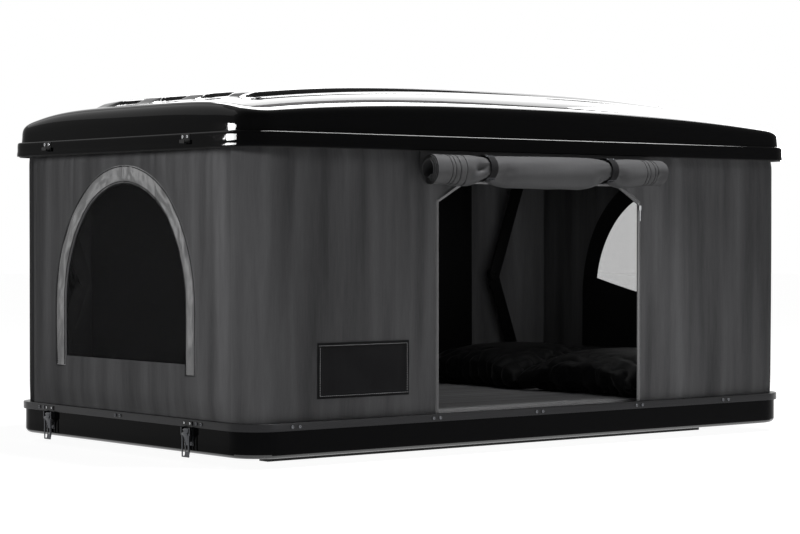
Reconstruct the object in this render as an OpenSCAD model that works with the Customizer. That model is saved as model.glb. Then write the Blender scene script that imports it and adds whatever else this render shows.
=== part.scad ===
// Pop-up hard-shell roof top tent: lower tray, rising lid on four folding arms, fabric walls between.
// Millimetres. X runs along the tent, the door side faces -Y, z = 0 is the underside of the mounting channels.

/* [Overall] */
// Length over the lid lip, along X
length = 2100; // [1800:10:2400]
// Width over the lid lip, along Y
width = 1250; // [1100:10:1500]
// Outer corner radius of the lid in plan
corner_r = 76; // [60:2:110]
// How far the lid rises from closed to open
lift = 727; // [600:1:800]

/* [Base] */
// Height of the two mounting channels under the tray
channel_h = 28; // [22:1:40]
// Width of a mounting channel
channel_w = 40; // [34:1:60]
// Distance between the two mounting channels, centre to centre
channel_gap = 800; // [500:10:900]
// Distance between the two bolt slots along a channel
bolt_gap = 900; // [600:10:1300]
// Width of a bolt slot
slot_w = 9; // [7:0.5:11]
// Length of a bolt slot
slot_l = 120; // [60:5:200]
// Height of the tray side below the edge rail
tray_h = 72; // [60:1:100]
// Wall thickness of the tray
tray_t = 5; // [3:0.5:8]
// Thickness of the tray floor panel
floor_t = 8; // [5:0.5:15]
// Height of the aluminium edge rail
rail_h = 21; // [16:1:30]
// Wall thickness of the edge rail
rail_t = 3; // [2:0.5:4]
// Head radius of the screws in the edge rail
screw_r = 4.5; // [3:0.5:6]

/* [Lid] */
// Height of the upright rim of the lid
rim_h = 42; // [30:1:60]
// Thickness of the lid shell
lid_t = 5; // [3:0.5:8]
// Height of the lid shoulder above the rim at a corner
shoulder_h = 51; // [40:1:80]
// Rise of the long side's shoulder towards its middle
rise_long = 33; // [10:1:60]
// Rise of the short side's shoulder towards its middle
rise_short = 33; // [10:1:60]
// Further rise of the roof in its middle
crown = 27; // [10:1:60]
// Fullness of the roof along its length
full_long = 2.5; // [1.5:0.1:5]
// Fullness of the roof across its width
full_short = 4.5; // [1.5:0.1:5]
// Height of the four raised ribs on the roof
rib_h = 15; // [6:1:25]
// Distance between neighbouring ribs
rib_gap = 226; // [190:2:250]
// Distance of a rib's end from the end of the lid
rib_end = 170; // [115:5:220]

/* [Arms] */
// Width of a folding arm
arm_w = 44; // [36:1:50]
// Thickness of a folding arm
arm_t = 8; // [6:0.5:9]
// Lean of the arms from upright when the tent is open, in degrees
arm_lean = 20; // [14:1:26]
// Radius of the arm pivot pins
pin_r = 6; // [5:0.5:8]
// Gap between a pin and its bore
run_gap = 0.3; // [0.2:0.05:0.5]
// Radius of a gas spring's cylinder
gas_r = 11; // [9:0.5:12]
// Radius of a gas spring's rod
rod_r = 5; // [4:0.5:6]

/* [Canvas] */
// Distance of the canvas from the lid lip
canvas_in = 24; // [22:0.5:28]
// Thickness of the canvas
canvas_t = 1.6; // [1:0.2:2.4]
// Height of the soft folds in the canvas
fold = 5; // [2:0.5:7]
// Width of the door opening
door_w = 772; // [600:2:900]
// Height of the door opening above the edge rail
door_h = 640; // [560:5:655]
// Width of the window net
window_w = 626; // [400:2:700]
// Height of the window's lower edge above the edge rail
window_z = 146; // [120:1:200]
// Height of the window net
window_h = 497; // [300:1:500]
// Width of the strip sewn round the window
trim_w = 50; // [30:1:60]
// Length of the rolled-up door
roll_l = 886; // [700:2:1000]
// Shift of the rolled-up door along the tent
roll_x = -13; // [-40:1:40]
// Radius of the rolled-up door
roll_r = 46; // [36:1:48]
// Turns of cloth in the roll
roll_turns = 4; // [2:0.5:4]
// Distance between the two roll straps
strap_gap = 467; // [300:1:600]
// Width of a roll strap
strap_w = 31; // [20:1:40]
// Length of the bare patch on the front wall
patch_l = 315; // [150:5:360]
// Height of the bare patch
patch_h = 150; // [80:5:200]

/* [Bedding] */
// Height of the mattress
mattress_h = 92; // [50:1:100]
// Depth of a pillow along the tent
pillow_l = 520; // [350:5:560]
// Height of a pillow
pillow_h = 118; // [80:1:125]

/* [Latches] */
// Half the distance between the two latches of an end
latch_y = 363; // [250:1:400]
// Shift of the latches towards the rear
latch_shift = 30; // [-40:1:40]
// Width of a latch lever
lever_w = 26; // [20:1:30]
// Length of a latch lever
lever_l = 72; // [60:1:76]
// Radius of the latch wire
wire_r = 2; // [1.5:0.25:2.5]

/* [Hidden] */
$fn = 40;
eps = 0.01;
gap = 0.3;
half_l = length / 2;
half_w = width / 2;
z0 = channel_h;
rail_z = z0 + tray_h;
rail_top = rail_z + rail_h;
closed_gap = 3;
lip_z = rail_top + closed_gap + lift;
rim_top = lip_z + rim_h;
rail_in = 7.4;
tray_in = rail_in + rail_t + 2.6;
floor_z = z0 + floor_t;
wall_z0 = rail_top + 0.4;
wall_z1 = lip_z + 20;
can_l = half_l - canvas_in;
can_w = half_w - canvas_in;
can_r = corner_r + 14;
frame_in = canvas_in + canvas_t + 0.9;
frame_t = 6;
frame_z = lip_z + 3;
frame_h = 25;
ledge_z = frame_z + frame_h + gap;
lean = arm_lean;
pivot_x = half_l - 75;
arm_y = half_w - 65;
upper_y = arm_y - arm_t - 2;
base_pivot_z = z0 + 50;
lid_pivot_z = lip_z + 37;
arm_l = (lid_pivot_z - base_pivot_z) / (2 * cos(lean));
elbow_x = pivot_x - arm_l * sin(lean);
elbow_z = base_pivot_z + arm_l * cos(lean);
cheek_t = 5;
gas_y = arm_y + arm_t / 2 + 5 + gas_r;
gas_up = 0.696 * arm_l;
gas_down = 0.116 * arm_l;
gas_a = [elbow_x + gas_up * sin(lean), elbow_z + gas_up * cos(lean)];
gas_b = [elbow_x + gas_down * sin(lean), elbow_z - gas_down * cos(lean)];
gas_len = norm(gas_a - gas_b);
gas_tilt = atan2(gas_a[0] - gas_b[0], gas_a[1] - gas_b[1]);
stud_r = 5;
eye_t = 12;
tube_l = 0.6 * gas_len;
roll_gap = 7;
roll_y = -(can_w + roll_r + roll_gap);
roll_z = lip_z - 57.5;
tail_y = -(can_w + 4.5);
strap_xs = [roll_x - 20 - strap_gap / 2, roll_x - 20 + strap_gap / 2];
latch_x = half_l - rail_in;
lever_z = z0 + 64;
lever_x = 3.2;
bail_x = 8;
bail_z = lever_z - 10;
catch_z = lip_z + 14;
keeper_x = half_l - 3.5 + gap;
bail_l = norm([13.5 - bail_x, catch_z + 5.3 - lift - bail_z]);
mat_w = arm_y - arm_t / 2 - arm_t - 2 - cheek_t - gap - 10;
mat_l = half_l - 62;
mat_z = floor_z + gap - 0.02 * mattress_h;
mat_top = mat_z + mattress_h;
pillow_x = mat_l - 40 - pillow_l / 2;
mat_crown = 6;
pillow_z = mat_top - 0.8 * mat_crown * pow((pillow_x - 0.4 * pillow_l) / mat_l, 2) + 2 * gap - 0.02 * pillow_h;

black = [0.08, 0.08, 0.085];
grey = [0.45, 0.46, 0.47];
steel = [0.6, 0.61, 0.62];
cloth = [0.3, 0.3, 0.31];
net = [0.12, 0.12, 0.12];

// Plan outline with round corners, by half sizes
module plan(a, b, r) {
  union() {
    square([2 * a, 2 * (b - r)], center = true);
    square([2 * (a - r), 2 * b], center = true);
    for (sx = [-1, 1], sy = [-1, 1])
      translate([sx * (a - r), sy * (b - r)])
        circle(r);
  }
}

// Upright band between two insets from the lid lip
module band(in0, in1, z, h, r) {
  translate([0, 0, z])
    linear_extrude(h)
      difference() {
        plan(half_l - in0, half_w - in0, r);
        plan(half_l - in1, half_w - in1, max(5, r - in1 + in0));
      }
}

// Puts a corner's parts, drawn for +X +Y, at another corner
module corner(sx, sy) {
  mirror([sx < 0 ? 1 : 0, 0, 0])
    mirror([0, sy < 0 ? 1 : 0, 0])
      children();
}

module four() {
  for (sx = [-1, 1], sy = [-1, 1])
    corner(sx, sy)
      children();
}

// Pin or bore along Y
module pin(x, z, y, l, r) {
  translate([x, y, z])
    rotate([-90, 0, 0])
      cylinder(h = l, r = r);
}

// Points of a closed plan outline, same count for every size
function edge(p, q, n) = [for (i = [0 : n - 1]) p + (q - p) * i / n];
function arc(c, r, t, n) = [for (i = [0 : n - 1]) c + r * [cos(t + 90 * i / n), sin(t + 90 * i / n)]];
function outline(a, b, r, ns, na, nl) = concat(
  edge([a, r - b], [a, b - r], ns), arc([a - r, b - r], r, 0, na),
  edge([a - r, b], [r - a, b], nl), arc([r - a, b - r], r, 90, na),
  edge([-a, b - r], [-a, r - b], ns), arc([r - a, r - b], r, 180, na),
  edge([r - a, -b], [a - r, -b], nl), arc([a - r, r - b], r, 270, na));

// Skin over a stack of outlines, closed by strips across the top one
function quad(a, b, c, d) = [[a, b, c], [a, c, d]];
function strips(p) = let (m = len(p))
  concat([[p[m - 1], p[1], p[0]], [p[m / 2 + 1], p[m / 2], p[m / 2 - 1]]],
    [for (i = [1 : m / 2 - 2], q = quad(p[m - i], p[m - i - 1], p[i + 1], p[i])) q]);
module loft(rings, ns, na, nl) {
  m = len(rings[0]);
  k = len(rings);
  top = (k - 1) * m;
  polyhedron(
    points = [for (r = rings) each r],
    faces = concat(
      [[for (j = [0 : m - 1]) j]],
      [for (i = [0 : k - 2], j = [0 : m - 1],
        q = quad((i + 1) * m + j, (i + 1) * m + (j + 1) % m, i * m + (j + 1) % m, i * m + j)) q],
      strips([for (j = [0 : m - 1]) top + (ns / 2 + j) % m])));
}

// Height of the roof skin at a place, without and with ribs
function dome(x, y) =
  let (u = 1 - pow(min(1, abs(x) / (half_l - 14)), full_long))
  let (v = 1 - pow(min(1, abs(y) / (half_w - 14)), full_short))
  rim_top + shoulder_h + rise_long * u + rise_short * v + crown * u * v;
function step(t) = let (c = max(0, min(1, t))) c * c * (3 - 2 * c);
function rib(x, y) =
  let (d = min(abs(abs(y) - rib_gap / 2), abs(abs(y) - 1.5 * rib_gap)))
  rib_h * step((half_l - rib_end - abs(x)) / 70 + 0.5) * step((0.33 * rib_gap - d) / (0.1 * rib_gap));
lid_ns = 8;
lid_na = 5;
lid_nl = 28;
function rim_ring(d, z) = [for (p = outline(half_l - d, half_w - d, corner_r - 0.4 * d, lid_ns, lid_na, lid_nl))
  [p[0], p[1], z]];
function wall_ring(d, f, drop) = [for (p = outline(half_l - d, half_w - d, corner_r - 0.2 * d, lid_ns, lid_na, lid_nl))
  [p[0], p[1], rim_top - drop + f * (dome(p[0], p[1]) - rim_top)]];
function roof_ring(b, cut, drop, ribs) =
  [for (p = outline(half_l - 68 - 42 * (1 - b / (half_w - 60)) - cut, b, min(60, 0.75 * b), lid_ns, lid_na, lid_nl))
    [p[0], p[1], dome(p[0], p[1]) + ribs * rib(p[0], p[1]) - drop]];
rib_ys = [for (k = [1.5, 0.5], f = [0.33, 0.23, -0.23, -0.33]) (k + f) * rib_gap];

// Cushion: outlines that swell to the middle height, with a crowned top
module cushion(a, b, h, r, crown_h, ear) {
  levels = [[0.1, 0.02], [0.035, 0.12], [0, 0.32], [0, 0.55], [0.03, 0.78], [0.1, 0.92]];
  ns = 8;
  na = 4;
  nl = 8;
  m = min(a, b);
  side = [for (l = levels) [for (p = outline(a - l[0] * m, b - l[0] * m, r, ns, na, nl))
    let (q = 1 - ear * (1 - pow(abs(p[0]) / a, 2)) * (1 - pow(abs(p[1]) / b, 6))
      - ear * (1 - pow(abs(p[1]) / b, 2)) * (1 - pow(abs(p[0]) / a, 6)))
    [p[0] * q, p[1] * q, h * l[1]]]];
  roof = [for (f = [0.78, 0.5, 0.2]) [for (p = outline(a * f, b * f, r * f, ns, na, nl))
    [p[0], p[1], h - crown_h * (pow(p[0] / a, 2) + pow(p[1] / b, 2)) * 0.8]]];
  loft(concat(side, roof), ns, na, nl);
}

// Cloth wall: a path of [x, y, nx, ny, fold share], raised between two heights
function wave(s, z) =
  let (t = max(0, min(1, (z - wall_z0) / (wall_z1 - wall_z0))))
  fold * pow(max(0, sin(180 * t)), 1.2) * (0.6 * sin(s / 0.86 + 20) + 0.4 * sin(s / 0.41 + 75));
function long_path(sy, x0, x1, n) = [for (i = [0 : n])
  let (x = x0 + (x1 - x0) * i / n) [x, sy * can_w, 0, sy, x]];
function end_path(sx, y0, y1, n) = [for (i = [0 : n])
  let (y = y0 + (y1 - y0) * i / n) [sx * can_l, y, sx, 0, y]];
function bend_path(sx, sy, t0, t1, n) = [for (i = [0 : n])
  let (t = t0 + (t1 - t0) * i / n)
  [sx * (can_l - can_r + can_r * cos(t)), sy * (can_w - can_r + can_r * sin(t)), sx * cos(t), sy * sin(t), 1e6]];
module cloth_wall(path, za, zb, nz, in0, out0) {
  n = len(path);
  function at(p, z, o) =
    let (w = p[4] > 1e5 ? 0 : wave(p[4], z) * step((can_l - can_r - abs(p[0]) + abs(p[2]) * can_l) / 60)
      * step((can_w - can_r - abs(p[1]) + abs(p[3]) * can_w) / 60))
    [p[0] + p[2] * (o + w), p[1] + p[3] * (o + w), z];
  pts = concat(
    [for (k = [0 : nz], p = path) at(p, za + (zb - za) * k / nz, out0)],
    [for (k = [0 : nz], p = path) at(p, za + (zb - za) * k / nz, in0)]);
  h = n * (nz + 1);
  polyhedron(points = pts, faces = concat(
    [for (k = [0 : nz - 1], i = [0 : n - 2],
      q = quad(k * n + i, (k + 1) * n + i, (k + 1) * n + i + 1, k * n + i + 1)) q],
    [for (k = [0 : nz - 1], i = [0 : n - 2],
      q = quad(h + k * n + i, h + k * n + i + 1, h + (k + 1) * n + i + 1, h + (k + 1) * n + i)) q],
    [for (i = [0 : n - 2], q = quad(i, i + 1, h + i + 1, h + i)) q],
    [for (i = [0 : n - 2], q = quad(h + nz * n + i, h + nz * n + i + 1, nz * n + i + 1, nz * n + i)) q],
    [for (k = [0 : nz - 1], q = quad(k * n, h + k * n, h + (k + 1) * n, (k + 1) * n)) q],
    [for (k = [0 : nz - 1],
      q = quad((k + 1) * n + n - 1, h + (k + 1) * n + n - 1, h + k * n + n - 1, k * n + n - 1)) q]));
}
function front_run(sy) = concat(bend_path(-1, sy, 8, 82, 8), long_path(sy, can_r - can_l, can_l - can_r, 48),
  bend_path(1, sy, 82, 8, 8));

// Outlines cut through the walls: the door, seen along Y, and a window, seen along X
module door_shape(grow) {
  w = door_w / 2 + grow;
  polygon([[-w, rail_top - 5], [w, rail_top - 5], [w, rail_top + door_h - 52 + grow * 0.6],
    [w - 92, rail_top + door_h + grow], [92 - w, rail_top + door_h + grow], [-w, rail_top + door_h - 52 + grow * 0.6]]);
}
module window_shape(grow) {
  w = window_w / 2 + grow;
  low = rail_top + window_z - (grow > 0 ? 0.55 * grow : grow);
  knee = rail_top + window_z + 0.3 * window_h;
  top = rail_top + window_z + window_h + grow;
  polygon(concat([[-w, low], [w, low]],
    [for (i = [0 : 24]) [w * cos(180 * i / 24), knee + (top - knee) * sin(180 * i / 24)]]));
}
module through_y(sy) {
  translate([0, sy * can_w, 0])
    rotate([90, 0, 0])
      linear_extrude(160, center = true)
        children();
}
module through_x(sx) {
  translate([sx * half_l, 0, 0])
    rotate([90, 0, 90])
      linear_extrude(160, center = true)
        children();
}

module base_tray() {
  inner = tray_in + tray_t;
  color(black)
    difference() {
      union() {
        hull() {
          translate([0, 0, z0])
            linear_extrude(eps)
              plan(half_l - tray_in - 14, half_w - tray_in - 14, corner_r + 10);
          translate([0, 0, z0 + 4])
            linear_extrude(eps)
              plan(half_l - tray_in - 4, half_w - tray_in - 4, corner_r + 18);
          translate([0, 0, z0 + 14])
            linear_extrude(rail_top - rail_t - gap - z0 - 14)
              plan(half_l - tray_in, half_w - tray_in, corner_r + 20);
        }
      }
      translate([0, 0, floor_z])
        linear_extrude(rail_top)
          plan(half_l - inner, half_w - inner, corner_r + 16);
    }
}

module mount_channels() {
  l = length - 420;
  color(grey)
    for (sy = [-1, 1])
      translate([0, sy * channel_gap / 2, 0])
        difference() {
          translate([-l / 2, -channel_w / 2, 0])
            cube([l, channel_w, z0]);
          translate([-l / 2 - 1, 3 - channel_w / 2, 4])
            cube([l + 2, channel_w - 6, z0 - 7]);
          for (sx = [-1, 1])
            translate([sx * bolt_gap / 2, 0, -1])
              linear_extrude(6) {
                square([slot_l - slot_w, slot_w], center = true);
                translate([(slot_l - slot_w) / 2, 0])
                  circle(slot_w / 2);
                translate([(slot_w - slot_l) / 2, 0])
                  circle(slot_w / 2);
              }
        }
}

module base_rail() {
  r = corner_r + 22;
  color(grey) {
    band(rail_in, rail_in + rail_t, rail_z, rail_h, r);
    band(rail_in + rail_t - eps, canvas_in + 4, rail_top - rail_t, rail_t, r);
    band(canvas_in + 4 - eps, canvas_in + 7, rail_top - 14, 14, r - 16);
  }
}

module rail_screw() {
  cylinder(h = 1.6, r1 = screw_r, r2 = 0.7 * screw_r);
}

module rail_screws() {
  z = rail_z + rail_h / 2;
  color(steel)
    for (d = [-12, 12]) {
      for (x = [-0.424, -0.193, -0.01, 0.181, 0.358] * length, sy = [-1, 1])
        translate([x + d, sy * (half_w - rail_in + gap), z])
          rotate([-90 * sy, 0, 0])
            rail_screw();
      for (y = [-0.308, 0.016, 0.351] * width, sx = [-1, 1])
        translate([sx * (half_l - rail_in + gap), y + d, z])
          rotate([0, 90 * sx, 0])
            rail_screw();
    }
}

module mattress() {
  color(grey)
    translate([0, 0, mat_z])
      cushion(mat_l, mat_w, mattress_h, 60, mat_crown, 0.003);
}

module pillow(sy) {
  b = (mat_w - 8) / 2;
  color(black)
    translate([pillow_x, sy * (b + 4), pillow_z])
      cushion(pillow_l / 2, b, pillow_h, 60, 46, 0.03);
}

module pillow_front() {
  pillow(-1);
}

module pillow_rear() {
  pillow(1);
}

// A flat arm between two pivots, seen along Y
module arm_bar(p, q, y) {
  d = q - p;
  translate([p[0], y + arm_t / 2, p[1]])
    rotate([90, 0, 0])
      rotate([0, 0, atan2(d[1], d[0])])
        linear_extrude(arm_t)
          difference() {
            union() {
              circle(arm_w / 2);
              translate([norm(d), 0])
                circle(arm_w / 2);
              translate([0, -arm_w / 2])
                square([norm(d), arm_w]);
            }
            circle(pin_r + run_gap);
            translate([norm(d), 0])
              circle(pin_r + run_gap);
          }
}

module lower_arm(sx, sy) {
  color(grey)
    corner(sx, sy) {
      arm_bar([pivot_x, base_pivot_z], [elbow_x, elbow_z], arm_y);
      pin(elbow_x, elbow_z, upper_y - arm_t / 2 - 1, arm_y - upper_y + arm_t + 1, pin_r);
      pin(elbow_x, elbow_z, arm_y - arm_t / 2, arm_t, pin_r + 1);
    }
}

module upper_arm(sx, sy) {
  color(grey)
    corner(sx, sy) {
      arm_bar([elbow_x, elbow_z], [pivot_x, lid_pivot_z], upper_y);
      pin(gas_a[0], gas_a[1], upper_y + arm_t / 2 - eps, gas_y + eye_t / 2 + 1 - upper_y - arm_t / 2, stud_r);
    }
}

// Along a gas spring's axis, z = 0 at its foot
module gas_axis() {
  translate([gas_b[0], gas_y, gas_b[1]])
    rotate([0, gas_tilt, 0])
      children();
}

module gas_rod(sx, sy) {
  color(steel)
    corner(sx, sy)
      gas_axis()
        difference() {
          union() {
            translate([0, 0, 0.42 * gas_len])
              cylinder(h = 0.58 * gas_len - stud_r - run_gap - 2, r = rod_r);
            pin(0, gas_len, -eye_t / 2, eye_t, stud_r + 4.5);
          }
          pin(0, gas_len, -eye_t, 2 * eye_t, stud_r + run_gap);
        }
}

module gas_tube(sx, sy) {
  stud_y = arm_y + arm_t / 2 + gap - gas_y;
  color(black)
    corner(sx, sy)
      gas_axis()
        difference() {
          union() {
            translate([0, 0, 12])
              cylinder(h = tube_l - 12, r = gas_r);
            cylinder(h = 13, r = 7);
            pin(0, 0, -eye_t / 2, eye_t, stud_r + 4.5);
            pin(0, 0, stud_y, -stud_y, stud_r);
          }
          translate([0, 0, 24])
            cylinder(h = tube_l, r = rod_r + run_gap);
        }
}

// Two cheeks either side of an arm, drawn for +X +Y
module cheeks(y, za, zb) {
  for (s = [-1, 1])
    translate([pivot_x - 25, y + s * (arm_t / 2 + gap + cheek_t / 2) - cheek_t / 2, za])
      cube([50, cheek_t, zb - za]);
}

module base_brackets() {
  wide = arm_t + 2 * gap + 2 * cheek_t;
  color(grey)
    four()
      difference() {
        union() {
          cheeks(arm_y, floor_z, base_pivot_z + 16);
          translate([pivot_x - 25, arm_y - wide / 2, floor_z])
            cube([50, wide, cheek_t]);
        }
        pin(pivot_x, base_pivot_z, arm_y - 20, 40, pin_r + eps);
      }
}

module base_pins() {
  wide = arm_t + 2 * gap + 2 * cheek_t;
  color(steel)
    four()
      pin(pivot_x, base_pivot_z, arm_y - wide / 2, wide, pin_r);
}

module lid_brackets() {
  wide = arm_t + 2 * gap + 2 * cheek_t;
  top = lid_pivot_z + arm_w / 2 + 2;
  shelf_z = frame_z + frame_h + gap;
  color(grey)
    four()
      difference() {
        union() {
          cheeks(upper_y, lid_pivot_z - 14, top + cheek_t);
          translate([pivot_x - 25, upper_y - wide / 2, top])
            cube([50, wide, cheek_t]);
          translate([pivot_x - 25, upper_y + arm_t / 2 + gap + cheek_t - eps, shelf_z])
            cube([50, half_w - frame_in - 4 - upper_y - arm_t / 2 - gap - cheek_t, cheek_t]);
        }
        pin(pivot_x, lid_pivot_z, upper_y - 20, 40, pin_r + eps);
      }
}

module lid_pins() {
  wide = arm_t + 2 * gap + 2 * cheek_t;
  color(steel)
    four()
      pin(pivot_x, lid_pivot_z, upper_y - wide / 2, wide, pin_r);
}

module lid_frame() {
  r = can_r - 2;
  color(grey) {
    band(frame_in, frame_in + frame_t, frame_z, frame_h, r);
    band(lid_t + 6, frame_in + eps, frame_z + frame_h - 3, 3, r + 15);
  }
}

module lid_seal() {
  color(net)
    band(lid_t + gap, lid_t + 4.5, lip_z - 2, 10, corner_r + 2);
}

module lid_shell() {
  color(black)
    difference() {
      loft(concat(
        [rim_ring(1, lip_z), rim_ring(0, lip_z + 3), rim_ring(0, lip_z + 8), rim_ring(3.5, lip_z + 13),
          rim_ring(4, rim_top - 4), rim_ring(7, rim_top)],
        [wall_ring(12, 0.03, 0), wall_ring(14, 0.4, 0), wall_ring(18, 0.68, 0), wall_ring(26, 0.87, 0),
          wall_ring(42, 0.96, 0)],
        [roof_ring(half_w - 68, 0, 0, 1), roof_ring(half_w - 130, 0, 0, 1)],
        [for (b = rib_ys) roof_ring(b, 0, 0, 1)],
        [roof_ring(16, 0, 0, 1)]), lid_ns, lid_na, lid_nl);
      loft(concat(
        [rim_ring(lid_t, lip_z - 1), rim_ring(lid_t, lip_z + 10), rim_ring(lid_t + 5, lip_z + 14)],
        [rim_ring(lid_t + 5, ledge_z), rim_ring(lid_t + 12, ledge_z), rim_ring(lid_t + 12, rim_top)],
        [wall_ring(lid_t + 14, 0.36, 3), wall_ring(lid_t + 20, 0.64, lid_t), wall_ring(lid_t + 32, 0.82, lid_t)],
        [for (b = [half_w - 78, half_w - 160, half_w - 280, half_w - 400, half_w - 520, 20])
          roof_ring(b, 6, lid_t, 0)]), lid_ns, lid_na, lid_nl);
    }
}

// Catch plate on the lid rim, drawn for the +X end at y = 0
module keeper() {
  x = keeper_x;
  translate([x, -20, catch_z])
    cube([3, 40, 25]);
  translate([x, -12, catch_z])
    cube([latch_x + 19 - x, 24, 3]);
  translate([latch_x + 16.5, -12, catch_z])
    cube([2.5, 24, 9]);
}

module at_latch(sx, sy) {
  corner(sx, sy)
    translate([0, latch_y + sy * latch_shift, 0])
      children();
}

module all_latches() {
  for (sx = [-1, 1], sy = [-1, 1])
    at_latch(sx, sy)
      children();
}

module lid_keepers() {
  color(steel)
    all_latches()
      keeper();
}

module keeper_screws() {
  color(grey)
    all_latches()
      for (y = [-11, 11])
        translate([keeper_x + 3.05, y, catch_z + 17])
          rotate([0, 90, 0])
            cylinder(h = 2, r1 = screw_r, r2 = 0.6 * screw_r);
}

module latch_plates() {
  ear = lever_w / 2 + 2 * wire_r + 1.5;
  x = half_l - tray_in + gap;
  color(steel)
    all_latches()
      difference() {
        union() {
          translate([x, -ear - 3, z0 + 22])
            cube([2.5, 2 * ear + 6, tray_h - 24]);
          for (s = [-1, 1])
            translate([x, s * (ear + 1.5) - 1.5, lever_z - 14])
              cube([latch_x + lever_x + 6 - x, 3, rail_z - gap - lever_z + 14]);
        }
        pin(latch_x + lever_x, lever_z, -40, 80, 3 + eps);
      }
}

module latch_pins() {
  ear = lever_w / 2 + 2 * wire_r + 1.5;
  color(grey)
    all_latches()
      pin(latch_x + lever_x, lever_z, -ear - 3, 2 * ear + 6, 3);
}

module lever(sx, sy) {
  w = lever_w / 2;
  tip = lever_z - lever_l;
  color(steel)
    at_latch(sx, sy)
      translate([latch_x, 0, 0])
        difference() {
          union() {
            pin(lever_x, lever_z, -w, lever_w, 5.5);
            pin(bail_x, bail_z, -w, lever_w, 5);
            translate([0, w, 0])
              rotate([90, 0, 0])
                linear_extrude(lever_w)
                  polygon([[lever_x - 3, lever_z + 1], [lever_x + 5, lever_z + 1], [bail_x + 4, bail_z],
                    [bail_x - 2, bail_z - 12], [3.5, z0 + 18], [3.5, tip + 12], [6, tip], [3, tip],
                    [-0.5, tip + 12], [-0.5, z0 + 30], [lever_x - 4.5, lever_z - 3]]);
          }
          pin(lever_x, lever_z, -w - 1, lever_w + 2, 3 + run_gap);
          pin(bail_x, bail_z, -w - 1, lever_w + 2, wire_r + run_gap);
        }
}

// Wire bail: two legs, a cross bar and two stubs into the lever
module bail(sx, sy) {
  y = lever_w / 2 + wire_r + 0.6;
  color(steel)
    at_latch(sx, sy)
      for (s = [-1, 1]) {
        translate([latch_x + bail_x, s * y, bail_z - bail_l])
          cylinder(h = bail_l, r = wire_r);
        translate([latch_x + bail_x, s * y, bail_z])
          sphere(wire_r);
        translate([latch_x + bail_x, s * y, bail_z - bail_l])
          sphere(wire_r);
        pin(latch_x + bail_x, bail_z, s > 0 ? y - 5 : -y, 5, wire_r);
        pin(latch_x + bail_x, bail_z - bail_l, s > 0 ? 0 : -y, y, wire_r);
      }
}

module tent_front() {
  color(cloth)
    difference() {
      cloth_wall(front_run(-1), wall_z0, wall_z1, 7, -canvas_t, 0);
      through_y(-1)
        door_shape(0);
    }
}

module tent_rear() {
  color(cloth)
    mirror([0, 1, 0])
      cloth_wall(front_run(-1), wall_z0, wall_z1, 7, -canvas_t, 0);
}

module tent_end(sx) {
  b = can_w - can_r;
  run = concat(bend_path(sx, -1, 7.6, 0, 1), end_path(sx, -b, b, 26), bend_path(sx, 1, 0, 7.6, 1));
  color(cloth)
    mirror([sx < 0 ? 1 : 0, 0, 0])
      difference() {
        cloth_wall([for (p = run) [abs(p[0]), p[1], abs(p[2]), p[3], p[4]]], wall_z0, wall_z1, 7, -canvas_t, 0);
        through_x(1)
          window_shape(0);
      }
}

module tent_left() {
  tent_end(-1);
}

module tent_right() {
  tent_end(1);
}

module end_cut(sx, in0, out0) {
  b = can_w - can_r;
  mirror([sx < 0 ? 1 : 0, 0, 0])
    intersection() {
      cloth_wall(end_path(1, -b, b, 26), wall_z0, wall_z1, 7, in0, out0);
      through_x(1)
        children();
    }
}

module window_net_left() {
  color(net)
    end_cut(-1, -canvas_t - 1.4, -canvas_t - 0.4)
      window_shape(14);
}

module window_net_right() {
  color(net)
    end_cut(1, -canvas_t - 1.4, -canvas_t - 0.4)
      window_shape(14);
}

module trim_shape() {
  difference() {
    window_shape(trim_w);
    window_shape(0.5);
  }
}

module window_trim_left() {
  color(grey)
    end_cut(-1, 0.4, 2.4)
      trim_shape();
}

module window_trim_right() {
  color(grey)
    end_cut(1, 0.4, 2.4)
      trim_shape();
}

// Inner blind, let halfway down inside the right window
module window_flap_right() {
  w = window_w / 2 + trim_w;
  low = rail_top + window_z - 30;
  color(net)
    end_cut(1, -canvas_t - 4.4, -canvas_t - 2.2)
      polygon([[-w, low], [w, low], [w, low + 0.42 * window_h + 40], [-w, low + 0.42 * window_h - 80]]);
}

module zip_shape() {
  difference() {
    door_shape(12);
    door_shape(0.5);
    translate([-half_l, rail_top - 20])
      square([length, 21]);
  }
}

module door_zips() {
  color(black)
    for (sy = [-1, 1])
      mirror([0, sy > 0 ? 1 : 0, 0])
        intersection() {
          cloth_wall(long_path(-1, can_r - can_l, can_l - can_r, 48), wall_z0, wall_z1, 7, 0.4, 1.8);
          through_y(-1)
            zip_shape();
        }
}

module zip_sliders() {
  z = rail_top + door_h - 70;
  y = -can_w - 1.8 - gap - wave(door_w / 2 + 6, z + 7);
  color(steel)
    for (sy = [-1, 1])
      mirror([0, sy > 0 ? 1 : 0, 0]) {
        translate([door_w / 2 + 2, y - 4, z])
          cube([9, 4, 14]);
        translate([door_w / 2 + 4.5, y - 3.5, z - 32])
          cube([4, 2, 33]);
      }
}

module patch() {
  x0 = -0.386 * length;
  color(black)
    intersection() {
      cloth_wall(long_path(-1, can_r - can_l, can_l - can_r, 48), wall_z0, wall_z1, 7, 0.4, 1.6);
      through_y(-1)
        translate([x0, rail_top + 58])
          square([patch_l, patch_h]);
    }
}

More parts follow.
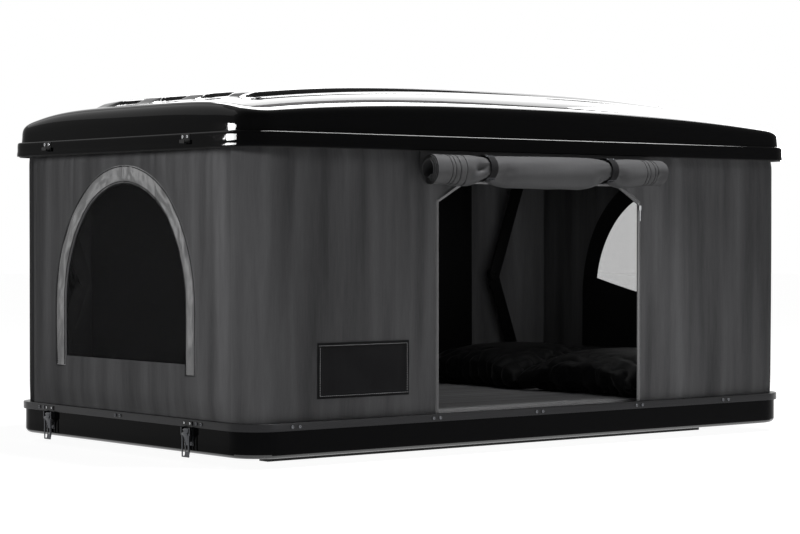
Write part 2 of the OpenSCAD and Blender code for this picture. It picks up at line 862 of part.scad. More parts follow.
// Rolled door: cloth down the wall, then wound from the outside in, seen along X
module door_roll() {
  t = 3.2;
  pitch = min(8, (roll_r - 10) / roll_turns);
  n = 22 * roll_turns;
  top = lip_z + 12;
  function at(i, o) =
    let (a = -360 * roll_turns * i / n, r = roll_r - o - pitch * roll_turns * i / n)
    [roll_y + r * cos(a), roll_z + r * sin(a)];
  color(cloth)
    translate([roll_x - roll_l / 2, 0, 0])
      rotate([90, 0, 90])
        linear_extrude(roll_l)
          polygon(concat([[tail_y, top]], [for (i = [0 : n]) at(i, 0)],
            [for (i = [n : -1 : 0]) at(i, t)], [[tail_y - t, top]]));
}

// Strap slung under the roll from the lid frame, seen along X
module strap_line(o) {
  r = roll_r + 0.8 + o;
  polygon(concat([[tail_y + 2.3 + o, lip_z + 12]],
    [for (i = [0 : 22]) let (a = 2 - 236 * i / 22) [roll_y + r * cos(a), roll_z + r * sin(a)]],
    [[tail_y - 6.2 - o, lip_z - 6], [tail_y - 6.2 - o, lip_z + 12]]));
}

module roll_straps() {
  color(black)
    for (x = strap_xs)
      translate([x - strap_w / 2, 0, 0])
        rotate([90, 0, 90])
          linear_extrude(strap_w)
            difference() {
              strap_line(1.4);
              offset(delta = -1.2)
                strap_line(1.4);
              translate([tail_y - 4.8, lip_z + 10])
                square([6.6, 10]);
            }
}

module strap_buckles() {
  color(steel)
    for (x = strap_xs)
      translate([x - strap_w / 2 - 4, roll_y - roll_r - 2.2 - gap - 3, roll_z - 12])
        difference() {
          cube([strap_w + 8, 3, 24]);
          translate([5, -1, 5])
            cube([strap_w - 2, 5, 5.5]);
          translate([5, -1, 13.5])
            cube([strap_w - 2, 5, 5.5]);
        }
}

base_tray();
mount_channels();
base_rail();
rail_screws();
mattress();
pillow_front();
pillow_rear();
base_brackets();
base_pins();
latch_plates();
latch_pins();
tent_front();
tent_rear();
tent_left();
tent_right();
window_net_left();
window_net_right();
window_trim_left();
window_trim_right();
window_flap_right();
door_zips();
zip_sliders();
patch();
lid_shell();
lid_frame();
lid_seal();
lid_brackets();
lid_pins();
lid_keepers();
keeper_screws();
door_roll();
roll_straps();
strap_buckles();
lower_arm(1, 1);  // lower_arm_rr
lower_arm(-1, 1);  // lower_arm_lr
lower_arm(-1, -1);  // lower_arm_lf
lower_arm(1, -1);  // lower_arm_rf
upper_arm(1, 1);  // upper_arm_rr
upper_arm(-1, 1);  // upper_arm_lr
upper_arm(-1, -1);  // upper_arm_lf
upper_arm(1, -1);  // upper_arm_rf
gas_rod(1, 1);  // gas_rod_rr
gas_rod(-1, 1);  // gas_rod_lr
gas_rod(-1, -1);  // gas_rod_lf
gas_rod(1, -1);  // gas_rod_rf
gas_tube(1, 1);  // gas_tube_rr
gas_tube(-1, 1);  // gas_tube_lr
gas_tube(-1, -1);  // gas_tube_lf
gas_tube(1, -1);  // gas_tube_rf
lever(1, 1);  // lever_rr
lever(-1, 1);  // lever_lr
lever(-1, -1);  // lever_lf
lever(1, -1);  // lever_rf
bail(1, 1);  // bail_rr
bail(-1, 1);  // bail_lr
bail(-1, -1);  // bail_lf
bail(1, -1);  // bail_rf
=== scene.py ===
import math

import bmesh
import bpy
import numpy as np
from mathutils import Matrix, Vector, noise


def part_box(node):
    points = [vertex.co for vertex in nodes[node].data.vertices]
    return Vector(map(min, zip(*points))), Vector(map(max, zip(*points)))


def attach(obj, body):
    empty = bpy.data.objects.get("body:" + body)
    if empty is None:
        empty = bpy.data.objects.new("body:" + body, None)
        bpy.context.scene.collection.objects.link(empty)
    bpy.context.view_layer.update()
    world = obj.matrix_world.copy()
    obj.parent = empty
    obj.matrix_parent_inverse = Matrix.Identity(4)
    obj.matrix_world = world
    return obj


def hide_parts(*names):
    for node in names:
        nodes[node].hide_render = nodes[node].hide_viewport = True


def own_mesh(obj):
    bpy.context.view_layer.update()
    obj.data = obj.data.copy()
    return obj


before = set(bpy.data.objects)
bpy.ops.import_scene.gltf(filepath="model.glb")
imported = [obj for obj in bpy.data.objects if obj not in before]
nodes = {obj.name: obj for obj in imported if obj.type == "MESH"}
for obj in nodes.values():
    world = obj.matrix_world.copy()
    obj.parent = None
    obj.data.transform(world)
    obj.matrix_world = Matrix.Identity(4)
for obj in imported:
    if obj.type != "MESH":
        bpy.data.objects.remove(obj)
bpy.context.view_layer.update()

# Sizes in metres, as in the part's source
HALF_L, HALF_W, CORNER_R = 1.05, 0.625, 0.076
RAIL_Z, RAIL_IN = 0.100, 0.0074
LIP_Z, RIM_TOP = 0.851, 0.893
CLOTH_L, CLOTH_W, CLOTH_R = 1.026, 0.601, 0.090
CLOTH_Z0, CLOTH_Z1, CLOTH_T = 0.1214, 0.871, 0.0016
DOOR_W, DOOR_TOP, DOOR_KNEE, DOOR_CUT = 0.386, 0.761, 0.709, 0.092
NET_W, NET_LOW, NET_KNEE, NET_TOP = 0.313, 0.267, 0.4161, 0.764
ROLL_X, ROLL_HALF, ROLL_Z, ROLL_AXIS_Y = -0.013, 0.443, 0.7935, -0.650
STRAPS, STRAP_HALF, STRAP_SHIFT = (-0.2665, 0.2005), 0.0125, 0.011
LATCHES = (-0.333, 0.393)
PATCH_EDGES = (-0.811, -0.496, 0.179, 0.329)
DOME_EDGE, DOME_ALONG, DOME_ACROSS, DOME_CROWN = 0.043, 0.037, 0.041, 0.023
RIB_LINES, RIB_HALF, RIB_RISE, RIB_SLOPE = (0.113, 0.339), 0.0746, 0.015, 0.0226
ROLL_LOW, ROLL_HIGH, ROLL_DEEP, ROLL_T = 0.748, 0.843, 0.040, 0.0014
# How far each cloth layer lies outside its wall, or inside below 0, and its thickness
LAYERS = {"net": (-0.0022, 0.0006), "strip": (0.0018, 0.0013), "facing": (-0.0038, 0.0010),
          "blind": (-0.0052, 0.0012), "lining": (-0.0050, 0.0010), "patch": (0.0022, 0.0012)}
# The right window sits a little towards the door side
WINDOW_U = {"left": 0.0, "right": -0.06}
LONG = ("front", "rear")
ENDS = ("left", "right")
CORNERS = {"rr": (1, LATCHES[1]), "lr": (-1, LATCHES[1]), "lf": (-1, LATCHES[0]), "rf": (1, LATCHES[0])}
# Faces of a small bar whose points are its top four, then its bottom four
BAR_FACES = ((0, 1, 2, 3), (7, 6, 5, 4), (0, 4, 5, 1), (1, 5, 6, 2), (2, 6, 7, 3), (3, 7, 4, 0))


# Camera, light and floor

def hexa(code):
    """sRGB hex to linear RGBA."""
    parts = [int(code[i:i + 2], 16) / 255 for i in (0, 2, 4)]
    return tuple(c / 12.92 if c <= 0.04045 else ((c + 0.055) / 1.055) ** 2.4 for c in parts) + (1.0,)


def put(tree, kind, sockets=None, into=None, **settings):
    """Adds a node with its settings and links it: a node among the socket values gives its first output."""
    made = tree.nodes.new(kind)
    for key, value in settings.items():
        setattr(made, key, value)
    for key, value in (sockets or {}).items():
        if isinstance(value, bpy.types.Node):
            value = value.outputs[0]
        if isinstance(value, bpy.types.NodeSocket):
            tree.links.new(value, made.inputs[key])
        else:
            made.inputs[key].default_value = value
    if into is not None:
        tree.links.new(made.outputs[0], into)
    return made


def set_camera():
    azimuth, pitch = math.radians(-38.9147), math.radians(0.8075)
    level = math.cos(pitch)
    back = Vector((math.sin(azimuth) * level, -math.cos(azimuth) * level, math.sin(pitch)))
    data = bpy.data.cameras.new("camera")
    sensor, focal_pixels, photo_pixels = 36, 2368.77, 800
    data.sensor_width = sensor
    data.lens = sensor * focal_pixels / photo_pixels
    data.clip_end = 100
    camera = bpy.data.objects.new("camera", data)
    bpy.context.scene.collection.objects.link(camera)
    camera.location = (-4.60734, -5.65935, 0.6215)
    camera.rotation_mode = "QUATERNION"
    camera.rotation_quaternion = (-back).to_track_quat("-Z", "Y")
    bpy.context.scene.camera = camera


def add_lamp(name, place, aim, size, watts, gloss_only=False):
    data = bpy.data.lights.new(name, "AREA")
    data.shape = "RECTANGLE"
    data.size, data.size_y = size
    data.energy = watts
    lamp = bpy.data.objects.new(name, data)
    bpy.context.scene.collection.objects.link(lamp)
    lamp.location = place
    lamp.rotation_mode = "QUATERNION"
    lamp.rotation_quaternion = (Vector(aim) - Vector(place)).to_track_quat("-Z", "Y")
    lamp.visible_camera = False
    lamp.visible_diffuse = not gloss_only
    return lamp


def seen_directly(tree):
    """1 for a ray from the camera, off a gloss or through something clear; 0 for one that only lights."""
    path = put(tree, "ShaderNodeLightPath")
    seen = put(tree, "ShaderNodeMath", {0: path.outputs["Is Camera Ray"], 1: path.outputs["Is Glossy Ray"]},
               operation="ADD")
    return put(tree, "ShaderNodeMath", {0: seen, 1: path.outputs["Is Transmission Ray"]}, operation="ADD",
               use_clamp=True)


def set_light():
    world = bpy.data.worlds.new("studio")
    bpy.context.scene.world = world
    world.use_nodes = True
    tree = world.node_tree
    tree.nodes.clear()
    seen = seen_directly(tree)
    room_light, background = 0.17, 1.0
    room = put(tree, "ShaderNodeBackground", {"Color": (1, 1, 1, 1), "Strength": room_light})
    white = put(tree, "ShaderNodeBackground", {"Color": (1, 1, 1, 1), "Strength": background})
    both = put(tree, "ShaderNodeMixShader", {0: seen, 1: room, 2: white})
    put(tree, "ShaderNodeOutputWorld", {"Surface": both})
    bpy.context.scene.view_settings.view_transform = "Standard"


def group_of(name, pieces, state="INCLUDE"):
    """A light group: the lamps that take it light only these pieces, or all but them."""
    group = bpy.data.collections.new(name)
    for piece in pieces:
        group.objects.link(piece)
    for link in group.collection_objects:
        link.light_linking.link_state = state
    return group


def hang_lamps(dome_skin, rim_skin, tray, end_cloth, front_cloth, rear_cloth):
    """Soft lamps for cloth and fittings, raking ones for walls, and softboxes that show as reflections."""
    shells = [dome_skin, rim_skin, tray]
    groups = {"plain": group_of("all_but_shells", shells, "EXCLUDE"),
              "inner": group_of("all_but_shells_and_front", shells + front_cloth[:1], "EXCLUDE"),
              "shells": group_of("polished_shells", shells),
              "dome": group_of("polished_dome", [dome_skin]),
              "rim": group_of("polished_rim", [rim_skin]),
              "lid": group_of("polished_lid", [dome_skin, rim_skin]),
              "end": group_of("end_wall_cloth", end_cloth),
              "binding": group_of("end_binding", end_cloth[1:2]),
              "front": group_of("front_wall_cloth", front_cloth),
              "rear": group_of("rear_wall_cloth", rear_cloth)}
    mirrored = ("shells", "dome", "rim", "lid", "binding")
    lamps = [("top_softbox", (0.3, -1.4, 3.9), (0.2, -0.6, 0.5), (1.2, 1.0), 270, "inner"),
             ("right_raking_softbox", (8.5, -3.6, 2.6), (0, -0.6, 0.5), (2.4, 2.4), 15, "plain"),
             ("door_softbox", (1.2, -5.4, 0.9), (0.4, 0, 0.35), (1.6, 1.0), 20, "plain"),
             ("ceiling_panel", (0.35, 0, 0.845), (0.35, 0, 0), (0.8, 0.5), 1.6, "plain"),
             ("end_raking_softbox", (-2.6, -4.5, 1.9), (-1.03, 0, 0.5), (1.0, 1.6), 540, "end"),
             ("front_raking_softbox", (-6.0, -1.6, 3.2), (-0.8, -0.6, 0.5), (1.2, 1.2), 275, "front"),
             ("jamb_softbox", (0.25, -1.12, 0.5), (0.25, -0.6, 0.5), (0.3, 0.6), 2.2, "front"),
             ("corner_softbox", (-2.925, 1.07, 0.92), (-1.03, -0.56, 0.90), (1.32, 0.60), 640, "shells"),
             ("right_softbox", (3.2, 0.6, 1.5), (1.0, -0.57, 0.88), (2.2, 2.0), 400, "shells"),
             ("rim_softbox", (1.2, -2.2, 3.6), (0.6, -0.5, 0.9), (5.0, 1.2), 2700, "rim"),
             ("back_low_softbox", (4.155, 3.095, 1.9), (0.87, 0, 1.0), (5.6, 3.4), 180, "dome"),
             ("back_high_softbox", (3.715, 2.83, 5.05), (0.52, 0.1, 1.0), (6.5, 1.9), 975, "dome"),
             ("end_softbox", (-1.9, 4.0, 3.6), (-1.03, 0, 0.92), (3.6, 2.2), 35, "lid"),
             ("binding_softbox", (-3.6, 3.2, 1.2), (-1.03, 0, 0.6), (0.8, 2.2), 26, "binding"),
             ("lining_panel", (0.6, -0.3, 0.6), (0.75, 0.6, 0.5), (0.8, 0.5), 2.2, "rear")]
    for name, place, aim, size, watts, group in lamps:
        lamp = add_lamp(name, place, aim, size, watts, gloss_only=group in mirrored)
        lamp.light_linking.receiver_collection = groups[group]


def lay_floor():
    deselect()
    bpy.ops.mesh.primitive_circle_add(vertices=96, radius=30, fill_type="NGON", location=(0, 0, 0))
    floor = bpy.context.object
    floor.name = "floor"
    paint = bpy.data.materials.new("matt_white_floor")
    paint.use_nodes = True
    tree = paint.node_tree
    tree.nodes.clear()
    seen = seen_directly(tree)
    # Part of the floor's white is its own, and the rest takes the object's shadow
    own_share, own_light = 0.72, 1.31
    part = put(tree, "ShaderNodeMath", {0: seen, 1: own_share}, operation="MULTIPLY")
    matt = put(tree, "ShaderNodeBsdfDiffuse", {"Color": hexa("f4f4f4")})
    glow = put(tree, "ShaderNodeEmission", {"Color": (1, 1, 1, 1), "Strength": own_light})
    both = put(tree, "ShaderNodeMixShader", {0: part, 1: matt, 2: glow})
    put(tree, "ShaderNodeOutputMaterial", {"Surface": both})
    floor.data.materials.append(paint)


# Materials

def start_material(name, **fixed):
    """A Principled material with its even values set on the shader's own sockets."""
    made = bpy.data.materials.new(name)
    made.use_nodes = True
    tree = made.node_tree
    tree.nodes.clear()
    names = {"color": "Base Color", "ior": "IOR", "metal": "Metallic", "rough": "Roughness", "alpha": "Alpha",
             "sheen": "Sheen Weight", "sheen_rough": "Sheen Roughness"}
    sockets = {names[k]: hexa(v) if k == "color" else v for k, v in fixed.items()}
    shader = put(tree, "ShaderNodeBsdfPrincipled", sockets)
    put(tree, "ShaderNodeOutputMaterial", {"Surface": shader})
    return made, tree, shader


def black_gelcoat(name="black_gelcoat", ior=1.09):
    # Polished gelcoat on moulded fibreglass: deep black, a mirror-like face with a faint orange peel
    made, tree, shader = start_material(name, color="060607", ior=ior, rough=0.05)
    place = put(tree, "ShaderNodeTexCoord").outputs["Object"]
    # 14 mm orange peel, and hand-sized cloudiness of the polish
    peel = put(tree, "ShaderNodeTexNoise", {"Vector": place, "Scale": 70.0, "Detail": 1.0})
    cloud = put(tree, "ShaderNodeTexNoise", {"Vector": place, "Scale": 9.0, "Detail": 3.0})
    put(tree, "ShaderNodeMapRange",
        {"Value": cloud, "From Min": 0.35, "From Max": 0.7, "To Min": 0.012, "To Max": 0.03},
        into=shader.inputs["Roughness"])
    put(tree, "ShaderNodeBump", {"Height": peel, "Strength": 0.05, "Distance": 0.0006},
        into=shader.inputs["Normal"])
    return made


def brushed_metal(name, color, rough, stretch, low, high):
    """Drawn or brushed metal: fine lines along the stretched axis, with small changes of gloss."""
    made, tree, shader = start_material(name, color=color, metal=1.0, rough=rough)
    place = put(tree, "ShaderNodeTexCoord").outputs["Object"]
    turned = put(tree, "ShaderNodeMapping", {"Vector": place, "Scale": stretch})
    lines = put(tree, "ShaderNodeTexNoise", {"Vector": turned, "Scale": 1.0, "Detail": 3.0})
    put(tree, "ShaderNodeMapRange",
        {"Value": lines, "From Min": 0.3, "From Max": 0.7, "To Min": low, "To Max": high},
        into=shader.inputs["Roughness"])
    darker, lighter = [tuple(share * c for c in hexa(color)[:3]) + (1.0,) for share in (0.78, 1.15)]
    tone = put(tree, "ShaderNodeMix", {"Factor": lines, 6: darker, 7: lighter}, data_type="RGBA")
    tree.links.new(tone.outputs[2], shader.inputs["Base Color"])
    put(tree, "ShaderNodeBump", {"Height": lines, "Strength": 0.12, "Distance": 0.0002},
        into=shader.inputs["Normal"])
    return made


def powder_coat(name, color, rough):
    # Sprayed and baked powder paint: an even dull face with a 3 mm ripple
    made, tree, shader = start_material(name, color=color, ior=1.3, rough=rough)
    place = put(tree, "ShaderNodeTexCoord").outputs["Object"]
    ripple = put(tree, "ShaderNodeTexNoise", {"Vector": place, "Scale": 330.0, "Detail": 2.0})
    put(tree, "ShaderNodeBump", {"Height": ripple, "Strength": 0.25, "Distance": 0.0003},
        into=shader.inputs["Normal"])
    wear = put(tree, "ShaderNodeTexNoise", {"Vector": place, "Scale": 14.0, "Detail": 4.0})
    put(tree, "ShaderNodeMapRange", {"Value": wear, "To Min": rough - 0.08, "To Max": rough + 0.1},
        into=shader.inputs["Roughness"])
    return made


def woven(name, dark, light, pitch, rough, bump_size, blotch=0.5, sheen=0.0, ior=1.3, cloudy=(7, 7, 1)):
    """Plain weave on the piece's UV map, which is in metres: threads cross at the given pitch."""
    made, tree, shader = start_material(name, color=dark, ior=ior, rough=rough, sheen=sheen, sheen_rough=0.4)
    flat = put(tree, "ShaderNodeUVMap", uv_map="UVMap")
    split = put(tree, "ShaderNodeSeparateXYZ", {0: flat})
    turns = 2 * math.pi / pitch
    warp = put(tree, "ShaderNodeMath", {0: split.outputs[0], 1: turns}, operation="MULTIPLY")
    weft = put(tree, "ShaderNodeMath", {0: split.outputs[1], 1: turns}, operation="MULTIPLY")
    over = put(tree, "ShaderNodeMath", {0: warp}, operation="SINE")
    under = put(tree, "ShaderNodeMath", {0: weft}, operation="SINE")
    thread = put(tree, "ShaderNodeMath", {0: over, 1: under}, operation="MULTIPLY")
    # Slubs: threads a little thicker or thinner over some centimetres, and faint clouds in the dye; on the
    # canvas the clouds are drawn out into vertical streaks, the painted light and shade of folds
    slub_at = put(tree, "ShaderNodeMapping", {"Vector": flat, "Scale": (260, 16, 1)})
    slub = put(tree, "ShaderNodeTexNoise", {"Vector": slub_at, "Scale": 1.0, "Detail": 2.0})
    cloud_at = put(tree, "ShaderNodeMapping", {"Vector": flat, "Scale": cloudy})
    cloud = put(tree, "ShaderNodeTexNoise", {"Vector": cloud_at, "Scale": 1.0, "Detail": 3.0})
    slub = put(tree, "ShaderNodeMath", {0: slub, 1: 0.3}, operation="MULTIPLY")
    mixed = put(tree, "ShaderNodeMath", {0: thread, 1: 0.14, 2: slub}, operation="MULTIPLY_ADD")
    tone = put(tree, "ShaderNodeMath", {0: cloud, 1: blotch, 2: mixed}, operation="MULTIPLY_ADD")
    share = put(tree, "ShaderNodeMapRange",
                {"Value": tone, "From Min": 0.3 * blotch - 0.01, "From Max": 0.31 + 0.7 * blotch})
    paint = put(tree, "ShaderNodeMix", {"Factor": share, 6: hexa(dark), 7: hexa(light)}, data_type="RGBA")
    tree.links.new(paint.outputs[2], shader.inputs["Base Color"])
    put(tree, "ShaderNodeBump", {"Height": mixed, "Strength": 0.6, "Distance": bump_size},
        into=shader.inputs["Normal"])
    return made


def insect_net():
    # Black polyester net: threads 0.3 mm wide at 1.2 mm, drawn at 3 mm so that it shows; mostly open
    made, tree, shader = start_material("black_insect_net", color="2e2e2f", ior=1.1, rough=0.6, alpha=0.5)
    flat = put(tree, "ShaderNodeUVMap", uv_map="UVMap")
    split = put(tree, "ShaderNodeSeparateXYZ", {0: flat})
    turns = 2 * math.pi / 0.003
    lines = []
    for k in (0, 1):
        turned = put(tree, "ShaderNodeMath", {0: split.outputs[k], 1: turns}, operation="MULTIPLY")
        lines.append(put(tree, "ShaderNodeMath", {0: turned}, operation="SINE"))
    most = put(tree, "ShaderNodeMath", {0: lines[0], 1: lines[1]}, operation="MAXIMUM")
    put(tree, "ShaderNodeMapRange",
        {"Value": most, "From Min": 0.45, "From Max": 0.95, "To Min": 0.03, "To Max": 0.8},
        into=shader.inputs["Alpha"])
    put(tree, "ShaderNodeBump", {"Height": most, "Strength": 0.4, "Distance": 0.0004},
        into=shader.inputs["Normal"])
    return made


def rubber():
    # Extruded EPDM rubber: dull black with a slight bloom
    made, tree, shader = start_material("epdm_rubber", color="141414", ior=1.35, rough=0.7)
    place = put(tree, "ShaderNodeTexCoord").outputs["Object"]
    bloom = put(tree, "ShaderNodeTexNoise", {"Vector": place, "Scale": 120.0, "Detail": 3.0})
    put(tree, "ShaderNodeMapRange", {"Value": bloom, "To Min": 0.55, "To Max": 0.85},
        into=shader.inputs["Roughness"])
    put(tree, "ShaderNodeBump", {"Height": bloom, "Strength": 0.2, "Distance": 0.0003},
        into=shader.inputs["Normal"])
    return made


def make_materials():
    return {
        "gelcoat": black_gelcoat(),
        # The tray's turned-under edge: the same gelcoat made more reflective than its sides, a painted
        # reflection of the floor along the bottom
        "edge": black_gelcoat("gelcoat_edge_painted_reflection", 1.6),
        # Dark anodised extrusion, drawn along its length: satin, with fine die lines
        "rail": brushed_metal("anodised_aluminium", "2a2a2b", 0.34, (4.0, 4.0, 900.0), 0.26, 0.42),
        # Satin stainless pressings, brushed up and down
        "steel": brushed_metal("satin_stainless", "4a4b4e", 0.3, (500.0, 500.0, 30.0), 0.2, 0.38),
        # Dark zinc plate of the rail's screw heads
        "screw": brushed_metal("black_zinc", "5c5d60", 0.3, (300.0, 300.0, 300.0), 0.2, 0.4),
        # Hard chrome of the gas rods, zip sliders and small screws
        "chrome": brushed_metal("hard_chrome", "b9babc", 0.1, (200.0, 200.0, 200.0), 0.06, 0.14),
        "arm": powder_coat("black_powder_coat", "0a0a0b", 0.42),
        # Smoother enamel of the gas springs' tubes
        "gas": powder_coat("gloss_black_enamel", "0a0a0a", 0.2),
        # Coated polycotton wall cloth: 1 mm threads drawn at 3 mm so that they show, with paler and darker
        # vertical streaks painted in as the light and shade of its folds
        "canvas": woven("polycotton_canvas", "272728", "4a4a4b", 0.003, 0.85, 0.0004, blotch=1.5, sheen=0.03,
                        ior=1.1, cloudy=(15, 0.9, 1)),
        # Heavier coated cloth of the rolled door: smoother and paler
        "door": woven("coated_door_cloth", "353536", "424243", 0.003, 0.55, 0.0003, blotch=0.7, ior=1.2),
        # Coated binding strip: plain and slightly shiny
        "trim": woven("coated_binding", "2c2c2d", "3c3c3d", 0.004, 0.26, 0.0002, blotch=0.8, ior=1.42),
        "net": insect_net(),
        # Thin nylon of the blind, the facings and the lining
        "black": woven("black_nylon", "0a0a0b", "141415", 0.003, 0.5, 0.0004, blotch=0.6, ior=1.15),
        # Brushed microfibre of the pillow cases
        "quilt": woven("black_microfibre", "070708", "0f0f10", 0.004, 0.5, 0.0004, blotch=0.6, sheen=0.05,
                       ior=1.15),
        # Polypropylene webbing, coarsely woven
        "web": woven("black_webbing", "0d0d0e", "1c1c1d", 0.004, 0.7, 0.0008, blotch=0.3, ior=1.15),
        # Knitted mattress cover, streaked along the bed
        "cover": woven("grey_mattress_knit", "464647", "7e7e7f", 0.006, 0.9, 0.001, blotch=1.6,
                       cloudy=(0.7, 26, 1)),
        "rubber": rubber(),
        # Spun polyester sewing thread: grey on the patch, black on the strips
        "thread": woven("grey_thread", "4c4c4d", "6a6a6b", 0.002, 0.8, 0.0002),
        "dark_thread": woven("black_thread", "060607", "101011", 0.002, 0.8, 0.0002, ior=1.1),
        # Twill patch, sewn on the front wall
        "patch": woven("black_twill_patch", "070708", "0e0e0f", 0.003, 0.6, 0.0004, blotch=0.8, ior=1.12),
    }


# Modelling steps that several pieces share

def deselect():
    if bpy.context.object and bpy.context.object.mode != "OBJECT":
        bpy.ops.object.mode_set(mode="OBJECT")
    bpy.ops.object.select_all(action="DESELECT")


def pick(piece):
    deselect()
    piece.select_set(True)
    bpy.context.view_layer.objects.active = piece


def apply(piece, kind, **settings):
    """Adds a modifier with its settings and applies it."""
    pick(piece)
    made = piece.modifiers.new(kind.lower(), kind)
    for key, value in settings.items():
        setattr(made, key, value)
    bpy.ops.object.modifier_apply(modifier=made.name)


def smooth(piece, degrees=40):
    pick(piece)
    bpy.ops.object.shade_smooth_by_angle(angle=math.radians(degrees))


def dress(piece, finish, body, slot, *stands_for):
    """Gives a piece its finish and its body, and hides the nodes that it stands for; the slot is not used."""
    piece.data.materials.clear()
    piece.data.materials.append(paints[finish])
    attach(piece, body)
    if stands_for:
        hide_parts(*stands_for)
    return piece


def shrink_with_walls(*pieces):
    """Gives each piece its own copy of its mesh."""
    for piece in pieces:
        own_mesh(piece)


def tuck_into_tray(*pieces):
    """Gives each piece its own copy of its mesh."""
    for piece in pieces:
        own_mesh(piece)


def outline(a, b, r, ends, bends, sides):
    """Points round a plan with round corners, the same count for every size."""
    def side(p, q, n):
        return [(p[0] + (q[0] - p[0]) * i / n, p[1] + (q[1] - p[1]) * i / n) for i in range(n)]

    def bend(cx, cy, t):
        turns = [t + math.pi / 2 * i / bends for i in range(bends)]
        return [(cx + r * math.cos(a), cy + r * math.sin(a)) for a in turns]
    return (side((a, r - b), (a, b - r), ends) + bend(a - r, b - r, 0)
            + side((a - r, b), (r - a, b), sides) + bend(r - a, b - r, math.pi / 2)
            + side((-a, b - r), (-a, r - b), ends) + bend(r - a, r - b, math.pi)
            + side((r - a, -b), (a - r, -b), sides) + bend(a - r, r - b, 1.5 * math.pi))


def rings_of(profile, corner, counts):
    """A ring round the plan for each (distance in, height) of a profile in millimetres."""
    rings = []
    for d, z in profile:
        plan = outline(HALF_L - d / 1000, HALF_W - d / 1000, corner(d), *counts)
        rings.append([(x, y, z / 1000) for x, y in plan])
    return rings


def choose(piece, test, kind="faces"):
    """Opens the active piece for editing, with only the faces or edges selected that pass a test."""
    bpy.ops.object.mode_set(mode="EDIT")
    bpy.ops.mesh.select_all(action="DESELECT")
    shape = bmesh.from_edit_mesh(piece.data)
    for part in getattr(shape, kind):
        part.select = test(part)
    if kind == "edges":
        shape.select_flush(True)
    bmesh.update_edit_mesh(piece.data)


def join(pieces, name, degrees=40):
    deselect()
    for piece in pieces:
        piece.select_set(True)
    bpy.context.view_layer.objects.active = pieces[0]
    bpy.ops.object.join()
    pieces[0].name = name
    smooth(pieces[0], degrees)
    return pieces[0]


def loft(name, rings, caps=False):
    """Starts from a circle and extrudes its loop from outline to outline."""
    deselect()
    bpy.ops.mesh.primitive_circle_add(vertices=len(rings[0]), location=(0, 0, 0))
    piece = bpy.context.object
    piece.name = name
    bpy.ops.object.mode_set(mode="EDIT")
    shape = bmesh.from_edit_mesh(piece.data)
    turn = shape.verts.layers.int.new("turn")
    level = shape.verts.layers.int.new("level")
    for i, v in enumerate(shape.verts):
        v[turn] = i
        v.co = rings[0][i]
    bmesh.update_edit_mesh(piece.data)
    bpy.ops.mesh.select_all(action="SELECT")
    for k, ring in enumerate(rings[1:]):
        bpy.ops.mesh.extrude_edges_move()
        shape = bmesh.from_edit_mesh(piece.data)
        turn, level = shape.verts.layers.int["turn"], shape.verts.layers.int["level"]
        for v in shape.verts:
            if v.select:
                v[level] = k + 1
                v.co = ring[v[turn]]
        bmesh.update_edit_mesh(piece.data)
    if caps:
        for end in (0, len(rings) - 1):
            bpy.ops.mesh.select_all(action="DESELECT")
            shape = bmesh.from_edit_mesh(piece.data)
            level = shape.verts.layers.int["level"]
            for v in shape.verts:
                v.select = v[level] == end
            shape.select_flush(True)
            bmesh.update_edit_mesh(piece.data)
            bpy.ops.mesh.edge_face_add()
    bpy.ops.mesh.select_all(action="SELECT")
    bpy.ops.mesh.remove_doubles(threshold=1e-5)
    bpy.ops.mesh.normals_make_consistent(inside=False)
    bpy.ops.object.mode_set(mode="OBJECT")
    return piece


def ease(t):
    """A smooth step from 0 to 1."""
    c = min(1.0, max(0.0, t))
    return c * c * (3 - 2 * c)


def new_mesh(name, points, faces, flat=None):
    """A piece from its points and faces, with a UV map from flat places in metres."""
    data = bpy.data.meshes.new(name)
    data.from_pydata([tuple(p) for p in points], [], faces)
    if flat is not None:
        layer = data.uv_layers.new(name="UVMap")
        for loop in data.loops:
            layer.data[loop.index].uv = flat[loop.vertex_index]
    data.update()
    piece = bpy.data.objects.new(name, data)
    bpy.context.scene.collection.objects.link(piece)
    return piece


def thickened(name, points, faces, flat, thick, offset=-1, degrees=60):
    """A sheet from its points and faces, given its thickness and smoothed."""
    piece = new_mesh(name, points, faces, flat)
    apply(piece, "SOLIDIFY", thickness=thick, offset=offset)
    smooth(piece, degrees)
    return piece


def quads(rows, n):
    """Faces of a grid of rows with n points each."""
    return [(i * n + j, (i + 1) * n + j, (i + 1) * n + j + 1, i * n + j + 1)
            for i in range(rows - 1) for j in range(n - 1)]


# Lid

def dome(x, y):
    """Height of the lid's skin, without its ribs."""
    rim = 0.014
    u = 1 - min(1, abs(x) / (HALF_L - rim)) ** 2.5
    v = 1 - min(1, abs(y) / (HALF_W - rim)) ** 4.5
    return RIM_TOP + DOME_EDGE + DOME_ALONG * u + DOME_ACROSS * v + DOME_CROWN * u * v


def rib(x, y):
    """Height of the four pressed ribs: long round-ended bars with sloped sides."""
    across = min(abs(abs(y) - line) for line in RIB_LINES)
    ramp = ease((HALF_L - 0.170 - abs(x)) / 0.070 + 0.5)
    half = RIB_HALF - 0.030 * (1 - ramp)
    return RIB_RISE * ramp * ease((half - across) / RIB_SLOPE)


